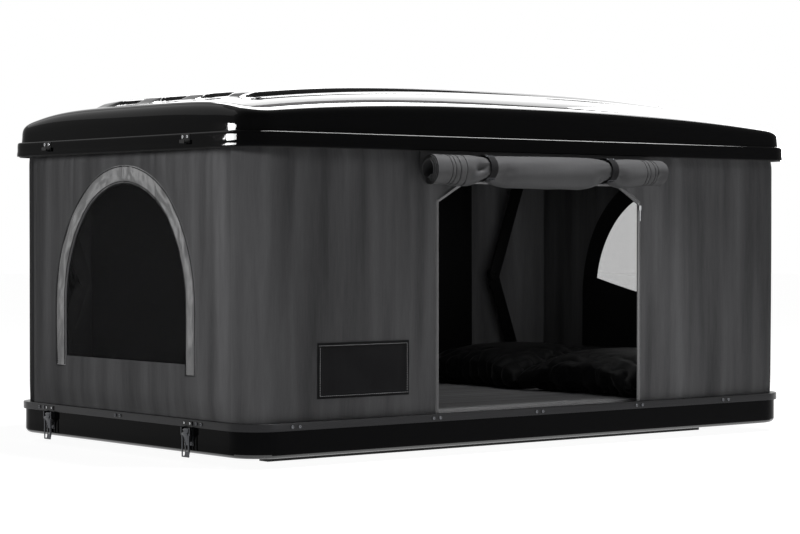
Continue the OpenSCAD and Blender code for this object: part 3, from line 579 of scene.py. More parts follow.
def build_lid():
    counts = 44, 8, 150
    lip = [(4.6, 851.2), (2.2, 851.0), (0.8, 851.5), (0.1, 853.0), (0, 855.0), (0, 858.0), (0.1, 859.8),
           (0.4, 862.0), (0.8, 864.0), (1.1, 866.2), (1.2, 870.0), (1.2, 882.0), (1.6, 888.0), (2.6, 890.8),
           (4.4, 892.4), (7.0, 893.0), (10.2, 893.1), (11.6, 893.5)]
    rings = rings_of(lip, lambda d: CORNER_R - 0.0004 * d, counts)
    shoulder, shoulder_steps, top_steps = 0.068, 18, 62
    for k in range(1, shoulder_steps + 1):
        q = (k / shoulder_steps) ** 2.4
        d = 0.012 + 0.056 * q
        ring = []
        for x, y in outline(HALF_L - d, HALF_W - d, CORNER_R - 0.2 * d, *counts):
            # A tighter shoulder along the sides than over the ends
            tight = 3.2 + 2.8 * ease((abs(y) - HALF_W + d + CORNER_R) / CORNER_R)
            f = (1 - (1 - q) ** tight) ** (1 / tight)
            ring.append((x, y, RIM_TOP + 0.001 + f * (dome(x, y) - RIM_TOP - 0.001)))
        rings.append(ring)
    for k in range(1, top_steps + 1):
        b = (HALF_W - shoulder) * (1 - k / top_steps)
        a = HALF_L - shoulder - 0.042 * (1 - b / (HALF_W - shoulder))
        r = min(0.0624, 0.75 * b)
        rings.append([(x, y, dome(x, y) + rib(x, y)) for x, y in outline(a, b, r, *counts)])
    lid = loft("lid_skin", rings)
    apply(lid, "SOLIDIFY", thickness=0.0045, offset=-1)
    smooth(lid, 50)
    # The rim's top band, below the dome, is its own piece
    choose(lid, lambda f: 0.875 < f.calc_center_median().z < RIM_TOP + 0.0003)
    bpy.ops.mesh.separate(type="SELECTED")
    bpy.ops.object.mode_set(mode="OBJECT")
    rim_skin = next(o for o in bpy.context.selected_objects if o is not lid)
    rim_skin.name = "lid_rim_skin"
    dress(rim_skin, "gelcoat", "lid", "gloss_shell")
    return dress(lid, "gelcoat", "lid", "gloss_shell", "lid_shell"), rim_skin


# Base

def build_base():
    counts = 30, 14, 60
    under = [(27 - 14 * math.sin(t), 42 - 14 * math.cos(t)) for t in np.linspace(0, math.pi / 2, 9)]
    sides = [(13, 60), (13, 90), (13, 117.6), (13.6, 118), (17.4, 118), (18, 117.6), (18, 80), (18, 44),
             (20, 37.6), (26, 36)]
    tray = loft("tray_skin", rings_of(under + sides, lambda d: 0.096 - (d - 13) / 1200, counts), caps=True)
    smooth(tray, 35)
    dress(tray, "gelcoat", "base", "gloss_shell", "base_tray")
    tray.data.materials.append(paints["edge"])
    # Faces that point down take the more reflective copy of the gelcoat: a painted reflection along the
    # bottom edge
    for face in tray.data.polygons:
        face.material_index = int(face.normal.z < -0.3)
    section = [(10.4, 100.6), (10.0, 100.1), (8.4, 100), (7.7, 100.3), (7.4, 101), (7.4, 106), (7.4, 115),
               (7.4, 119.4), (7.7, 120.4), (8.5, 121), (12, 121), (24, 121), (26.8, 121), (27.8, 120.6),
               (30.6, 120.4), (31, 119.8), (31, 107.4), (30.6, 107), (28.4, 107), (28, 107.4), (28, 117.6),
               (27.6, 118), (11, 118), (10.4, 117.4), (10.4, 100.6)]
    rail = loft("edge_rail", rings_of(section, lambda d: 0.098 - (d - 7.4) / 1000, counts))
    smooth(rail, 35)
    dress(rail, "rail", "base", "edge_rail", "base_rail")
    return tray


def screw_head(name, radius, height):
    """A dome-head screw with a round-bottomed socket, standing on z = 0."""
    deselect()
    bpy.ops.mesh.primitive_cylinder_add(vertices=24, radius=radius, depth=height, location=(0, 0, height / 2))
    piece = bpy.context.object
    piece.name = name
    bpy.ops.object.transform_apply(location=True, rotation=True, scale=True)
    choose(piece, lambda f: f.normal.z > 0.9)
    bpy.ops.mesh.inset(thickness=radius * 0.45, depth=height * 0.25)
    bpy.ops.mesh.inset(thickness=radius * 0.08, depth=0)
    bpy.ops.mesh.extrude_region_move(TRANSFORM_OT_translate={"value": (0, 0, -height * 0.8)})
    bpy.ops.object.mode_set(mode="OBJECT")
    apply(piece, "BEVEL", width=radius * 0.12, segments=2, limit_method="ANGLE", angle_limit=math.radians(35))
    return piece


def place_copies(model, name, places):
    """Copies a piece to each (place, outward direction), joins the copies and removes the model."""
    made = []
    for where, out in places:
        copy = bpy.data.objects.new(name, model.data.copy())
        turn = Vector(out).to_track_quat("Z", "Y").to_matrix().to_4x4()
        copy.data.transform(Matrix.Translation(where) @ turn)
        bpy.context.scene.collection.objects.link(copy)
        made.append(copy)
    bpy.data.objects.remove(model)
    return join(made, name, 35)


def beside_latches(x, z, gap):
    """Places for a pair of screws at each latch."""
    return [((sx * x, y + d, z), (sx, 0, 0)) for sx in (-1, 1) for y in LATCHES for d in (-gap, gap)]


def build_screws():
    face, z, gap = 0.0073, RAIL_Z + 0.0105, 0.012
    on_sides, on_ends = (-0.8904, -0.4053, -0.021, 0.3801, 0.7518), (-0.385, 0.02, 0.43875)
    places = []
    for d in (-gap, gap):
        for x in on_sides:
            places += [((x + d, s * (HALF_W - face), z), (0, s, 0)) for s in (-1, 1)]
        for y in on_ends:
            places += [((s * (HALF_L - face), y + d, z), (s, 0, 0)) for s in (-1, 1)]
    rail = place_copies(screw_head("screw_model", 0.0046, 0.0022), "rail_screw_heads", places)
    dress(rail, "screw", "base", "dark_screws", "rail_screws")
    places = beside_latches(HALF_L - 0.0002, LIP_Z + 0.031, 0.011)
    keeper = place_copies(screw_head("keeper_screw_model", 0.0045, 0.0024), "keeper_screw_heads", places)
    dress(keeper, "chrome", "lid", "steel_fittings", "keeper_screws")


# Cloth walls, windows, zips and patch

def folds(side, c, z):
    """How far the cloth stands out: broad folds, and finer ones that run down from the lid. It never stands
    in, where the lid's frame passes it on the way down."""
    t = min(1.0, max(0.0, (z - CLOTH_Z0) / (CLOTH_Z1 - CLOTH_Z0)))
    s = c * 1000
    broad = 0.0025 * max(0.0, math.sin(math.pi * t)) ** 1.2 * (
        1 + 0.6 * math.sin(math.radians(s / 0.86 + 20)) + 0.4 * math.sin(math.radians(s / 0.41 + 75)))
    seed = {"front": 0.0, "rear": 3.1, "left": 5.7, "right": 8.3}[side]
    hang, tucked = CLOTH_Z1 - z, 0.017
    near = ease((hang - tucked) / 0.03) * (0.12 + 0.88 * math.exp(-hang / 0.17))
    near *= min(1.0, (z - CLOTH_Z0) / 0.06)
    if side in ENDS:
        off = c - WINDOW_U[side]
        near *= 0.25 + 0.75 * max(ease((abs(off) - 0.37) / 0.06), ease((z - arch(off, 0.06)) / 0.05))
    calm = 1.0
    if side == "front":
        calm -= 0.8 * ease((0.50 - abs(c - ROLL_X)) / 0.05) * ease((z - 0.69) / 0.05)
        hemmed = 1 - 0.95 * math.exp(-((abs(c) - DOOR_W) / 0.028) ** 2)
        calm, broad = calm * hemmed, broad * hemmed
    bend = c * (42 if side in LONG else 55) + 5 * noise.noise((c * 5, seed, 0.7 * hang))
    deep = 0.9 + 0.8 * noise.noise((c * 3.1, seed + 2, 0.4 * hang))
    pleat = deep * near * (0.0088 * abs(math.sin(bend)) ** 0.8 + 0.0012 * math.sin(bend * 4.7 + seed))
    pinned = min(1.0, (z - CLOTH_Z0) / 0.05) * ease((hang - tucked) / 0.04)
    soft = 0.0060 * pinned * (0.5 + noise.noise((c * 9 + seed, z * 1.3, seed)))
    most, out = (0.0090, 0.0) if side == "front" else (0.0052, 0.0044)
    out *= ease((hang - tucked) / 0.024) * ease((z - CLOTH_Z0) / 0.06)
    return out + most * math.tanh(max(0.0, broad + calm * (pleat + soft)) / most)


def on_wall(side, u, z, off=0.0):
    """A point on a wall: u along it as seen from outside, left to right, off away from it."""
    half, depth = (CLOTH_L, CLOTH_W) if side in LONG else (CLOTH_W, CLOTH_L)
    flat = half - CLOTH_R
    a = max(0.0, abs(u) - flat) / CLOTH_R
    sign = math.copysign(1, u)
    along = sign * (min(abs(u), flat) + CLOTH_R * math.sin(a))
    out = depth - CLOTH_R + CLOTH_R * math.cos(a)
    c = along if side in ("front", "right") else -along
    edge = half if side in LONG else flat
    w = folds(side, c, z) * ease((edge - abs(along)) / 0.06)
    along += sign * math.sin(a) * (off + w)
    out += math.cos(a) * (off + w)
    return {"front": (along, -out, z), "right": (out, along, z),
            "rear": (-along, out, z), "left": (-out, -along, z)}[side]


def cut_cloth(columns, bands):
    """Flat pattern: bands of rows between two edges, over the columns that each one covers."""
    points, faces, seen = [], [], {}

    def at(u, z):
        key = (round(u, 5), round(z, 5))
        if key not in seen:
            seen[key] = len(points)
            points.append((u, z))
        return seen[key]
    for rows, low, high, covers in bands:
        for a, b in zip(columns, columns[1:]):
            if not covers((a + b) / 2):
                continue
            for k in range(rows):
                corner = [at(u, low(u) + (high(u) - low(u)) * j / rows)
                          for u, j in ((a, k), (b, k), (b, k + 1), (a, k + 1))]
                corner = list(dict.fromkeys(corner))
                if len(corner) > 2:
                    faces.append(corner)
    return points, faces


def sewn(name, side, pattern, off=0.0, thick=CLOTH_T, extra=None, mid=0.0):
    """Lays a flat pattern on a wall and gives it its thickness."""
    points, faces = pattern
    placed = [on_wall(side, u + mid, z, off + (extra(u, z) if extra else 0.0)) for u, z in points]
    return thickened(name, placed, faces, points, thick)


def stitched(name, side, path, off, finish, step=0.0075, long=0.005, wide=0.0012):
    """A row of stitches along a path on a wall, each a small bar half sunk in the cloth."""
    points, faces, flat = [], [], []
    walked, next_at = 0.0, 0.0
    for (u0, z0), (u1, z1) in zip(path, path[1:]):
        reach = math.hypot(u1 - u0, z1 - z0)
        du, dz = (u1 - u0) / reach, (z1 - z0) / reach
        while next_at < walked + reach:
            a = next_at - walked
            first = len(points)
            for lift in (off, off - 0.0008):
                for along, across in ((a, -wide / 2), (a + long, -wide / 2), (a + long, wide / 2),
                                      (a, wide / 2)):
                    u, z = u0 + du * along - dz * across, z0 + dz * along + du * across
                    points.append(on_wall(side, u, z, lift))
                    flat.append((along, across))
            faces += [[first + k for k in f] for f in BAR_FACES]
            next_at += step
        walked += reach
    piece = new_mesh(name, points, faces, flat)
    dress(piece, finish, "base", "trim_tape")
    shrink_with_walls(piece)
    return piece


def door_top(u):
    """Height of the door's upper edge, with its cut corners."""
    over = abs(u) - (DOOR_W - DOOR_CUT)
    return DOOR_TOP if over <= 0 else DOOR_TOP - (DOOR_TOP - DOOR_KNEE) * min(1, over / DOOR_CUT)


def arch_point(grow, turn):
    """A point on the window's arch, drawn larger by grow, as turn goes from 0 to pi."""
    return -(NET_W + grow) * math.cos(turn), NET_KNEE + (NET_TOP + grow - NET_KNEE) * math.sin(turn)


def arch(u, grow=0.0):
    """Height of the window's arch, drawn larger by grow, at a place along the wall."""
    share = min(1.0, abs(u) / (NET_W + grow))
    return NET_KNEE + (NET_TOP + grow - NET_KNEE) * math.sqrt(max(0.0, 1 - share * share))


def spaced(a, b, step):
    """Even places from a up to b, without b itself."""
    n = max(1, round(abs(b - a) / step))
    return [a + (b - a) * i / n for i in range(n)]


def long_wall(door):
    end = CLOTH_L - CLOTH_R + CLOTH_R * math.pi / 2
    cut = DOOR_W - DOOR_CUT
    columns = (spaced(-end, -DOOR_W, 0.007) + spaced(-DOOR_W, -cut, 0.008) + spaced(-cut, cut, 0.008)
               + spaced(cut, DOOR_W, 0.008) + spaced(DOOR_W, end, 0.007) + [end])
    low_rows, high_rows = 40, 12
    bands = [(low_rows, lambda u: CLOTH_Z0, lambda u: DOOR_KNEE, lambda u: abs(u) > DOOR_W or not door),
             (high_rows, (lambda u: door_top(u)) if door else (lambda u: DOOR_KNEE), lambda u: CLOTH_Z1,
              lambda u: True)]
    return cut_cloth(columns, bands), 2 * end


def end_wall(mid):
    end = CLOTH_W - CLOTH_R
    turn = [mid - NET_W * math.cos(math.pi * i / 84) for i in range(84)]
    columns = spaced(-end, mid - NET_W, 0.007) + turn + spaced(mid + NET_W, end, 0.007) + [end]
    bands = [(10, lambda u: CLOTH_Z0, lambda u: NET_LOW, lambda u: True),
             (10, lambda u: NET_LOW, lambda u: NET_KNEE, lambda u: abs(u - mid) > NET_W),
             (28, lambda u: arch(u - mid) if abs(u - mid) < NET_W else NET_KNEE, lambda u: CLOTH_Z1,
              lambda u: True)]
    return cut_cloth(columns, bands), 2 * end


def arch_strip(inner, outer, low, side, off, bulge):
    """A strip round the window: up one leg, over the arch and down the other."""
    path = []
    for t in np.linspace(0, 1, 15)[:-1]:
        path.append(("leg", -1, low + (NET_KNEE - low) * t))
    for t in np.linspace(0, math.pi, 241):
        path.append(("arch", 0, t))
    for t in np.linspace(1, 0, 15)[1:]:
        path.append(("leg", 1, low + (NET_KNEE - low) * t))
    across = 8
    flat, placed, length = [], [], 0.0
    last = None
    for kind, s, value in path:
        row = []
        for k in range(across + 1):
            g = inner + (outer - inner) * k / across
            if kind == "leg":
                row.append((s * (NET_W + g), value))
            else:
                row.append(arch_point(g, value))
        mid = row[across // 2]
        if last:
            length += math.hypot(mid[0] - last[0], mid[1] - last[1])
        last = mid
        for k, (u, z) in enumerate(row):
            w = k / across
            lift = bulge(length, w, u) if bulge else 0.0
            flat.append((length, w * (outer - inner)))
            placed.append(on_wall(side, u + WINDOW_U[side], z, off + lift))
    n = across + 1
    faces = [(i * n + k, i * n + k + 1, (i + 1) * n + k + 1, (i + 1) * n + k)
             for i in range(len(path) - 1) for k in range(across)]
    return flat, placed, faces


def build_walls():
    made = {}
    for side in LONG + ENDS:
        pattern, width = long_wall(side == "front") if side in LONG else end_wall(WINDOW_U[side])
        wall = sewn("wall_" + side, side, pattern)
        dress(wall, "canvas", "base", "canvas", "tent_" + side)
        made[side] = (wall, pattern, width)
    return made


def build_windows():
    extras = {side: [] for side in ENDS}
    for side in ENDS:
        grow = 0.014
        turn = [-(NET_W + grow) * math.cos(math.pi * i / 48) for i in range(49)]
        bands = [(10, lambda u: NET_LOW - grow, lambda u: NET_KNEE, lambda u: True),
                 (20, lambda u: NET_KNEE, lambda u: arch(u, grow), lambda u: True)]
        pattern = cut_cloth(turn, bands)
        net = sewn("window_mesh_" + side, side, pattern, *LAYERS["net"],
                   extra=lambda u, z: -0.0006 * max(0, math.sin(math.pi * (z - NET_LOW) / 0.5)),
                   mid=WINDOW_U[side])
        dress(net, "net", "base", "window_net", "window_net_" + side)
        shrink_with_walls(net)
        seed = 1.0 if side == "left" else 4.0

        def bulge(length, w, u):
            puff = 0.0024 * math.sin(math.pi * w) ** 0.7
            crease = 0.0034 * noise.noise((length * 11, w * 1.6, seed)) * math.sin(math.pi * w) ** 0.5
            fine = 0.0018 * noise.noise((length * 34, w * 3 + length * 9, seed + 7)) * math.sin(math.pi * w)
            top = 1.0 if abs(u) < 0.1 and length > 0.5 else 0.0
            seam = 0.0026 * math.exp(-(u / 0.0035) ** 2) * math.sin(math.pi * w) ** 0.3
            tuck = 0.0026 * math.exp(-((u - 0.040) / 0.009) ** 2 - ((w - 0.75) / 0.25) ** 2)
            return min(0.0040, max(0.0, puff + crease + fine + top * (seam + tuck)))
        off, thick = LAYERS["strip"]
        flat, placed, faces = arch_strip(0.0005, 0.050, NET_LOW - 0.0275, side, off, bulge)
        strip = thickened("window_strip_" + side, placed, [f[::-1] for f in faces], flat, thick)
        dress(strip, "trim", "base", "trim_tape", "window_trim_" + side)
        off, thick = LAYERS["facing"]
        flat, placed, faces = arch_strip(-0.004, 0.064, NET_LOW - 0.03, side, off, None)
        facing = thickened("window_facing_" + side, placed, faces, flat, thick)
        dress(facing, "black", "base", "black_cloth")
        shrink_with_walls(strip, facing)
        extras[side] += [strip, facing]
        for k, g in enumerate((0.004, 0.0465)):
            legs = [(-NET_W - g, NET_LOW - 0.025)]
            over = [arch_point(g, t) for t in np.linspace(0, math.pi, 61)]
            path = [(u + WINDOW_U[side], z) for u, z in legs + over + [(-legs[0][0], legs[0][1])]]
            extras[side].append(stitched("strip_stitches_%s_%d" % (side, k + 1), side, path, 0.0035,
                                         "dark_thread", step=0.006, long=0.0052, wide=0.0022))
    w, low = NET_W + 0.05, NET_LOW - 0.03
    columns = spaced(-w, w, 0.012) + [w]
    bands = [(18, lambda u: low, lambda u: low + 0.1687 + 0.06 * u / w + 0.02 * (u / w) ** 2, lambda u: True)]
    pattern = cut_cloth(columns, bands)
    blind = sewn("window_blind_right", "right", pattern, *LAYERS["blind"], mid=WINDOW_U["right"])
    dress(blind, "black", "base", "black_cloth", "window_flap_right")
    shrink_with_walls(blind)
    return extras


def door_path(grow):
    """The door's edge from the left foot round to the right one, in the wall's flat."""
    w = DOOR_W + grow
    knee, top = DOOR_KNEE + 0.6 * grow, DOOR_TOP + grow
    corners = [(-w, CLOTH_Z0 + 0.001), (-w, knee), (DOOR_CUT - w, top), (w - DOOR_CUT, top), (w, knee),
               (w, CLOTH_Z0 + 0.001)]
    counts = (60, 12, 56, 12, 60)
    path = []
    for (p, q), n in zip(zip(corners, corners[1:]), counts):
        path += [(p[0] + (q[0] - p[0]) * i / n, p[1] + (q[1] - p[1]) * i / n) for i in range(n)]
    return path + [corners[-1]]


def build_zips():
    """Zip tape round both doors, with the closed row of teeth as a raised bead."""
    made = {}
    profile = [(0.0005, 0.0006), (0.003, 0.0010), (0.0045, 0.0030), (0.0062, 0.0034), (0.0079, 0.0030),
               (0.0094, 0.0010), (0.0120, 0.0006)]
    for side in LONG:
        lines = [(door_path(g), off) for g, off in profile]
        flat, placed = [], []
        n = len(lines[0][0])
        length = 0.0
        for i in range(n):
            if i:
                a, b = lines[0][0][i - 1], lines[0][0][i]
                length += math.hypot(b[0] - a[0], b[1] - a[1])
            for (path, off), place in zip(lines, profile):
                flat.append((length, place[0]))
                placed.append(on_wall(side, path[i][0], path[i][1], off))
        faces = [f[::-1] for f in quads(n, len(profile))]
        tape = thickened("zip_" + side, placed, faces, flat, 0.0005, degrees=50)
        dress(tape, "trim", "base", "zip_tape", *(["door_zips"] if side == "front" else []))
        shrink_with_walls(tape)
        made[side] = tape
    return made


def build_patch():
    x0, x1, z0, z1 = PATCH_EDGES
    columns = spaced(x0, x1, 0.005) + [x1]
    pattern = cut_cloth(columns, [(34, lambda u: z0, lambda u: z1, lambda u: True)])

    def welt(u, z):
        edge = min(u - x0, x1 - u, z - z0, z1 - z)
        ripple = 0.0016 * noise.noise((u * 14, z * 16, 2.0))
        return 0.0012 * math.exp(-((edge - 0.010) / 0.0035) ** 2) + ripple
    piece = sewn("bare_patch", "front", pattern, *LAYERS["patch"], extra=welt)
    dress(piece, "patch", "base", "black_cloth", "patch")
    shrink_with_walls(piece)
    g = 0.0075
    path = [(x0 + g, z0 + g), (x1 - g, z0 + g), (x1 - g, z1 - g), (x0 + g, z1 - g), (x0 + g, z0 + g)]
    return [piece, stitched("patch_stitches", "front", path, 0.0042, "thread", step=0.0065, long=0.0045)]


def build_rear_panel():
    """Dark cloth lining inside the rear door, seen through the open one."""
    half, low, high = 0.77, 0.15, 0.80
    columns = spaced(-half, half, 0.012) + [half]
    pattern = cut_cloth(columns, [(40, lambda u: low, lambda u: high, lambda u: True)])
    piece = sewn("rear_door_lining", "rear", pattern, *LAYERS["lining"])
    dress(piece, "black", "base", "black_cloth")
    shrink_with_walls(piece)


# Rolled door and its straps

ROLL_TURNS, ROLL_PITCH = 4.4, 0.0044
ROLL_SEAMS = (-0.404, -0.392, -0.375, -0.351, 0.344, 0.357, 0.377, 0.389)
# Dents beside the straps: place along the roll, height from -1 (bottom) to 1, depth, width
ROLL_DENTS = ((-0.296, 0.05, 0.019, 0.018), (-0.222, -0.62, 0.011, 0.022), (-0.200, -0.1, 0.007, 0.02),
              (0.165, -0.55, 0.008, 0.02), (0.244, -0.35, 0.010, 0.018), (-0.335, -0.5, 0.007, 0.02),
              (0.405, -0.5, 0.008, 0.016))


def roll_shape(x):
    """Centre height, half height and half depth of the roll: drawn up at the straps, slimmer to the right."""
    pinch = min(1.0, sum(math.exp(-(abs(x - s) / 0.042) ** 1.4) for s in STRAPS))
    slim = ease((x - 0.24) / 0.16) * (1 - pinch)
    low = ROLL_LOW + 0.025 * pinch + 0.016 * slim + 0.009 * ease((-0.33 - x) / 0.1)
    high = ROLL_HIGH - 0.006 * pinch - 0.002 * slim
    return (low + high) / 2, (high - low) / 2, ROLL_DEEP - 0.003 * pinch


def round_roll(x, c, s, off):
    """Depth and height of a point round the roll, off away from its even shape."""
    mid, tall, deep = roll_shape(x)
    return ROLL_AXIS_Y + (deep + off) * c, mid + (tall + off) * s


def roll_point(x, turn, off=0.0):
    """A point of the rolled door, wound from the outside in; turn counts windings from the back downwards."""
    a = -2 * math.pi * turn
    c, s = math.cos(a), math.sin(a)
    outer = max(0.0, 1 - turn / 1.5)
    near = sum(math.exp(-abs(x - q) / 0.055) for q in STRAPS)
    slack = 0.0030 * noise.noise((x * 9, c * 1.6, s * 1.6 + 3))
    wrinkle = 0.0090 * near * (abs(noise.noise((x * 15, c * 3.2, s * 3.2 + 9))) - 0.22)
    grow = off - ROLL_PITCH * turn + outer * (slack + wrinkle)
    grow -= 0.0026 * outer * sum(math.exp(-((x - q) / 0.0026) ** 2) for q in ROLL_SEAMS)
    if c < 0:
        dent = sum(d * math.exp(-((x - q) / w) ** 2 - ((s - h) / 0.38) ** 2) for q, h, d, w in ROLL_DENTS)
        grow -= dent * math.sqrt(-c)
    wound = turn / ROLL_TURNS
    px = x - 0.012 * wound * ease((-0.33 - x) / 0.1) - 0.004 * wound * ease((x - 0.33) / 0.1)
    return (px, *round_roll(x, c, s, grow))


def build_roll():
    left, right = ROLL_X - ROLL_HALF, ROLL_X + ROLL_HALF
    xs = (spaced(left, -0.412, 0.005) + spaced(-0.412, -0.343, 0.0022) + spaced(-0.343, 0.336, 0.0052)
          + spaced(0.336, 0.397, 0.0022) + spaced(0.397, right, 0.005) + [right])
    per_turn, flap_y = 44, -0.6065
    rows = [[(x, flap_y, LIP_Z + 0.012 - t * (LIP_Z + 0.016 - ROLL_Z)) for x in xs]
            for t in np.linspace(0, 0.92, 6)]
    rows += [[roll_point(x, k / per_turn) for x in xs] for k in range(int(ROLL_TURNS * per_turn) + 1)]
    points, flat, travel = [], [], 0.0
    n = len(xs)
    for k, row in enumerate(rows):
        if k:
            travel += math.dist(row[n // 2][1:], rows[k - 1][n // 2][1:])
        points += row
        flat += [(x, travel) for x in xs]
    roll = thickened("rolled_door", points, quads(len(rows), n), flat, ROLL_T, offset=0)
    dress(roll, "door", "lid", "canvas", "door_roll")
    tuck_into_tray(roll)
    # A row of stitches on each seam, round the side that shows
    points, faces, spots = [], [], []
    for x in ROLL_SEAMS:
        for k in range(54):
            turn = 0.22 + 0.012 * k
            first = len(points)
            for off in (0.0016, 0.0006):
                for dx, dt in ((-0.0008, 0), (-0.0008, 0.008), (0.0008, 0.008), (0.0008, 0)):
                    points.append(roll_point(x + dx, turn + dt, off))
                    spots.append((dx, dt))
            faces += [[first + i for i in f] for f in BAR_FACES]
    rows_of_thread = new_mesh("roll_stitches", points, faces, spots)
    dress(rows_of_thread, "dark_thread", "lid", "trim_tape")
    tuck_into_tray(rows_of_thread)
    return roll


def build_straps():
    """Webbing slung round the roll, from the lid frame and back, with a steel loop above and below."""
    loops = []
    back_y, strap_off, loop_off = -0.6035, 0.0036, 0.0046
    for k, x0 in enumerate(STRAPS):
        line = [(back_y, LIP_Z + 0.011), (back_y, roll_shape(x0)[0] + 0.02)]
        for a in np.radians(np.linspace(2, -345, 56)):
            line.append(round_roll(x0, math.cos(a), math.sin(a), strap_off))
        across = [STRAP_HALF * share for share in (-1, -0.9, -0.3, 0.3, 0.9, 1)]
        points, flat, travel = [], [], 0.0
        for i, (y, z) in enumerate(line):
            if i:
                travel += math.hypot(y - line[i - 1][0], z - line[i - 1][1])
            for w in across:
                points.append((x0 + STRAP_SHIFT + w, y, z))
                flat.append((w, travel))
        faces = quads(len(line), len(across))
        strap = thickened("roll_strap_%d" % (k + 1), points, faces, flat, 0.0014, offset=0, degrees=50)
        dress(strap, "web", "lid", "black_webbing", *(["roll_straps"] if k == 0 else []))
        tuck_into_tray(strap)
        for degrees in (-122, -244):
            c, s = math.cos(math.radians(degrees)), math.sin(math.radians(degrees))
            loops.append(((x0 + STRAP_SHIFT, *round_roll(x0, c, s, loop_off)), (0, c, s)))
    deselect()
    bpy.ops.mesh.primitive_torus_add(major_radius=0.0042, minor_radius=0.0011, major_segments=32,
                                     minor_segments=10)
    model = bpy.context.object
    for v in model.data.vertices:
        v.co.x += math.copysign(0.0105, v.co.x)
    made = place_copies(model, "strap_loops", loops)
    dress(made, "steel", "lid", "steel_fittings", "strap_buckles")
    tuck_into_tray(made)


# Latches

def pressed_plate(name, line, half_width, thick, slot=None, flange=0.0):
    """A pressed strip from a grid: bent along a line of (x, z) in millimetres, with a slot or none."""
    deselect()
    bpy.ops.mesh.primitive_grid_add(x_subdivisions=10, y_subdivisions=26, size=1)
    piece = bpy.context.object
    piece.name = name
    steps = [0.0] + list(np.cumsum([math.dist(a, b) for a, b in zip(line, line[1:])]))
    share = [d / steps[-1] for d in steps]

    def in_slot(face):
        at = face.calc_center_median()
        return bool(slot) and abs(at.x) < slot[0] and slot[1] < at.y + 0.5 < slot[2]
    choose(piece, in_slot)
    bpy.ops.mesh.delete(type="FACE")
    bpy.ops.object.mode_set(mode="OBJECT")
    for v in piece.data.vertices:
        u, t = 2 * v.co.x, v.co.y + 0.5
        x = np.interp(t, share, [q[0] for q in line]) - flange * abs(u) ** 6
        z = np.interp(t, share, [q[1] for q in line])
        v.co = (HALF_L - RAIL_IN + x / 1000, half_width(t) * u / 1000, z / 1000)
    bpy.ops.object.mode_set(mode="EDIT")
    bpy.ops.mesh.select_all(action="SELECT")
    bpy.ops.mesh.normals_make_consistent(inside=False)
    bpy.ops.object.mode_set(mode="OBJECT")
    inward = sum(f.normal.x * f.area for f in piece.data.polygons) < 0
    apply(piece, "SOLIDIFY", thickness=thick / 1000, offset=1 if inward else -1)
    apply(piece, "BEVEL", width=0.00035, segments=2, limit_method="ANGLE", angle_limit=math.radians(40))
    return piece


def bar_across(x, z, radius, half):
    """A round bar along Y, at a height and distance from the rail's face in millimetres."""
    deselect()
    bpy.ops.mesh.primitive_cylinder_add(vertices=28, radius=radius / 1000, depth=2 * half / 1000,
                                        location=(HALF_L - RAIL_IN + x / 1000, 0, z / 1000),
                                        rotation=(math.pi / 2, 0, 0))
    piece = bpy.context.object
    bpy.ops.object.transform_apply(location=True, rotation=True, scale=True)
    apply(piece, "BEVEL", width=0.0006, segments=2, limit_method="ANGLE", angle_limit=math.radians(50))
    return piece


def copy_to_latches(model):
    """The model, drawn for the right end at y = 0, copied to the four latches."""
    made = {}
    for corner, (sx, y) in CORNERS.items():
        copy = bpy.data.objects.new(model.name + "_" + corner, model.data.copy())
        copy.data.transform(Matrix.Translation((0, y, 0)) @ Matrix.Diagonal((sx, 1, 1, 1)))
        if sx < 0:
            copy.data.flip_normals()
        bpy.context.scene.collection.objects.link(copy)
        made[corner] = copy
    bpy.data.objects.remove(model)
    return made


def build_latches():
    line = [(7.0, 90), (10.2, 86.6), (12.0, 82), (10.6, 77), (7.8, 71), (5.8, 62), (4.6, 50), (4.0, 40),
            (4.2, 32), (5.4, 25), (7.6, 19.6)]
    plate = pressed_plate("lever_plate", line, lambda t: 12.6 - 1.6 * max(0, t - 0.45) / 0.55, 1.8,
                          slot=(0.16, 0.46, 0.80), flange=2.4)
    lever = join([plate, bar_across(3.2, 92, 5.4, 12.8), bar_across(8, 82, 4.4, 12.8)], "latch_lever")
    for corner, piece in copy_to_latches(lever).items():
        dress(piece, "steel", "lever_" + corner, "steel_fittings", "lever_" + corner)
    line = [(2.2, 116), (2.2, 112), (2.2, 108), (2.2, 104)]
    bracket = pressed_plate("latch_bracket", line, lambda t: 22 + 1.0 * t, 1.9)
    for piece in copy_to_latches(bracket).values():
        dress(piece, "arm", "base", "steel_fittings")
    places = beside_latches(HALF_L - 0.0052, 0.1105, 0.014)
    dress(place_copies(screw_head("bracket_screw_model", 0.0032, 0.0016), "latch_bracket_screws", places),
          "chrome", "base", "steel_fittings")


# Pillows and mattress

def block(name, low, high):
    """A box between two corners, to shape a pad from."""
    deselect()
    mid = [(a + b) / 2 for a, b in zip(low, high)]
    bpy.ops.mesh.primitive_cube_add(size=1, location=mid)
    piece = bpy.context.object
    piece.name = name
    piece.scale = [b - a for a, b in zip(low, high)]
    bpy.ops.object.transform_apply(location=True, rotation=True, scale=True)
    return piece


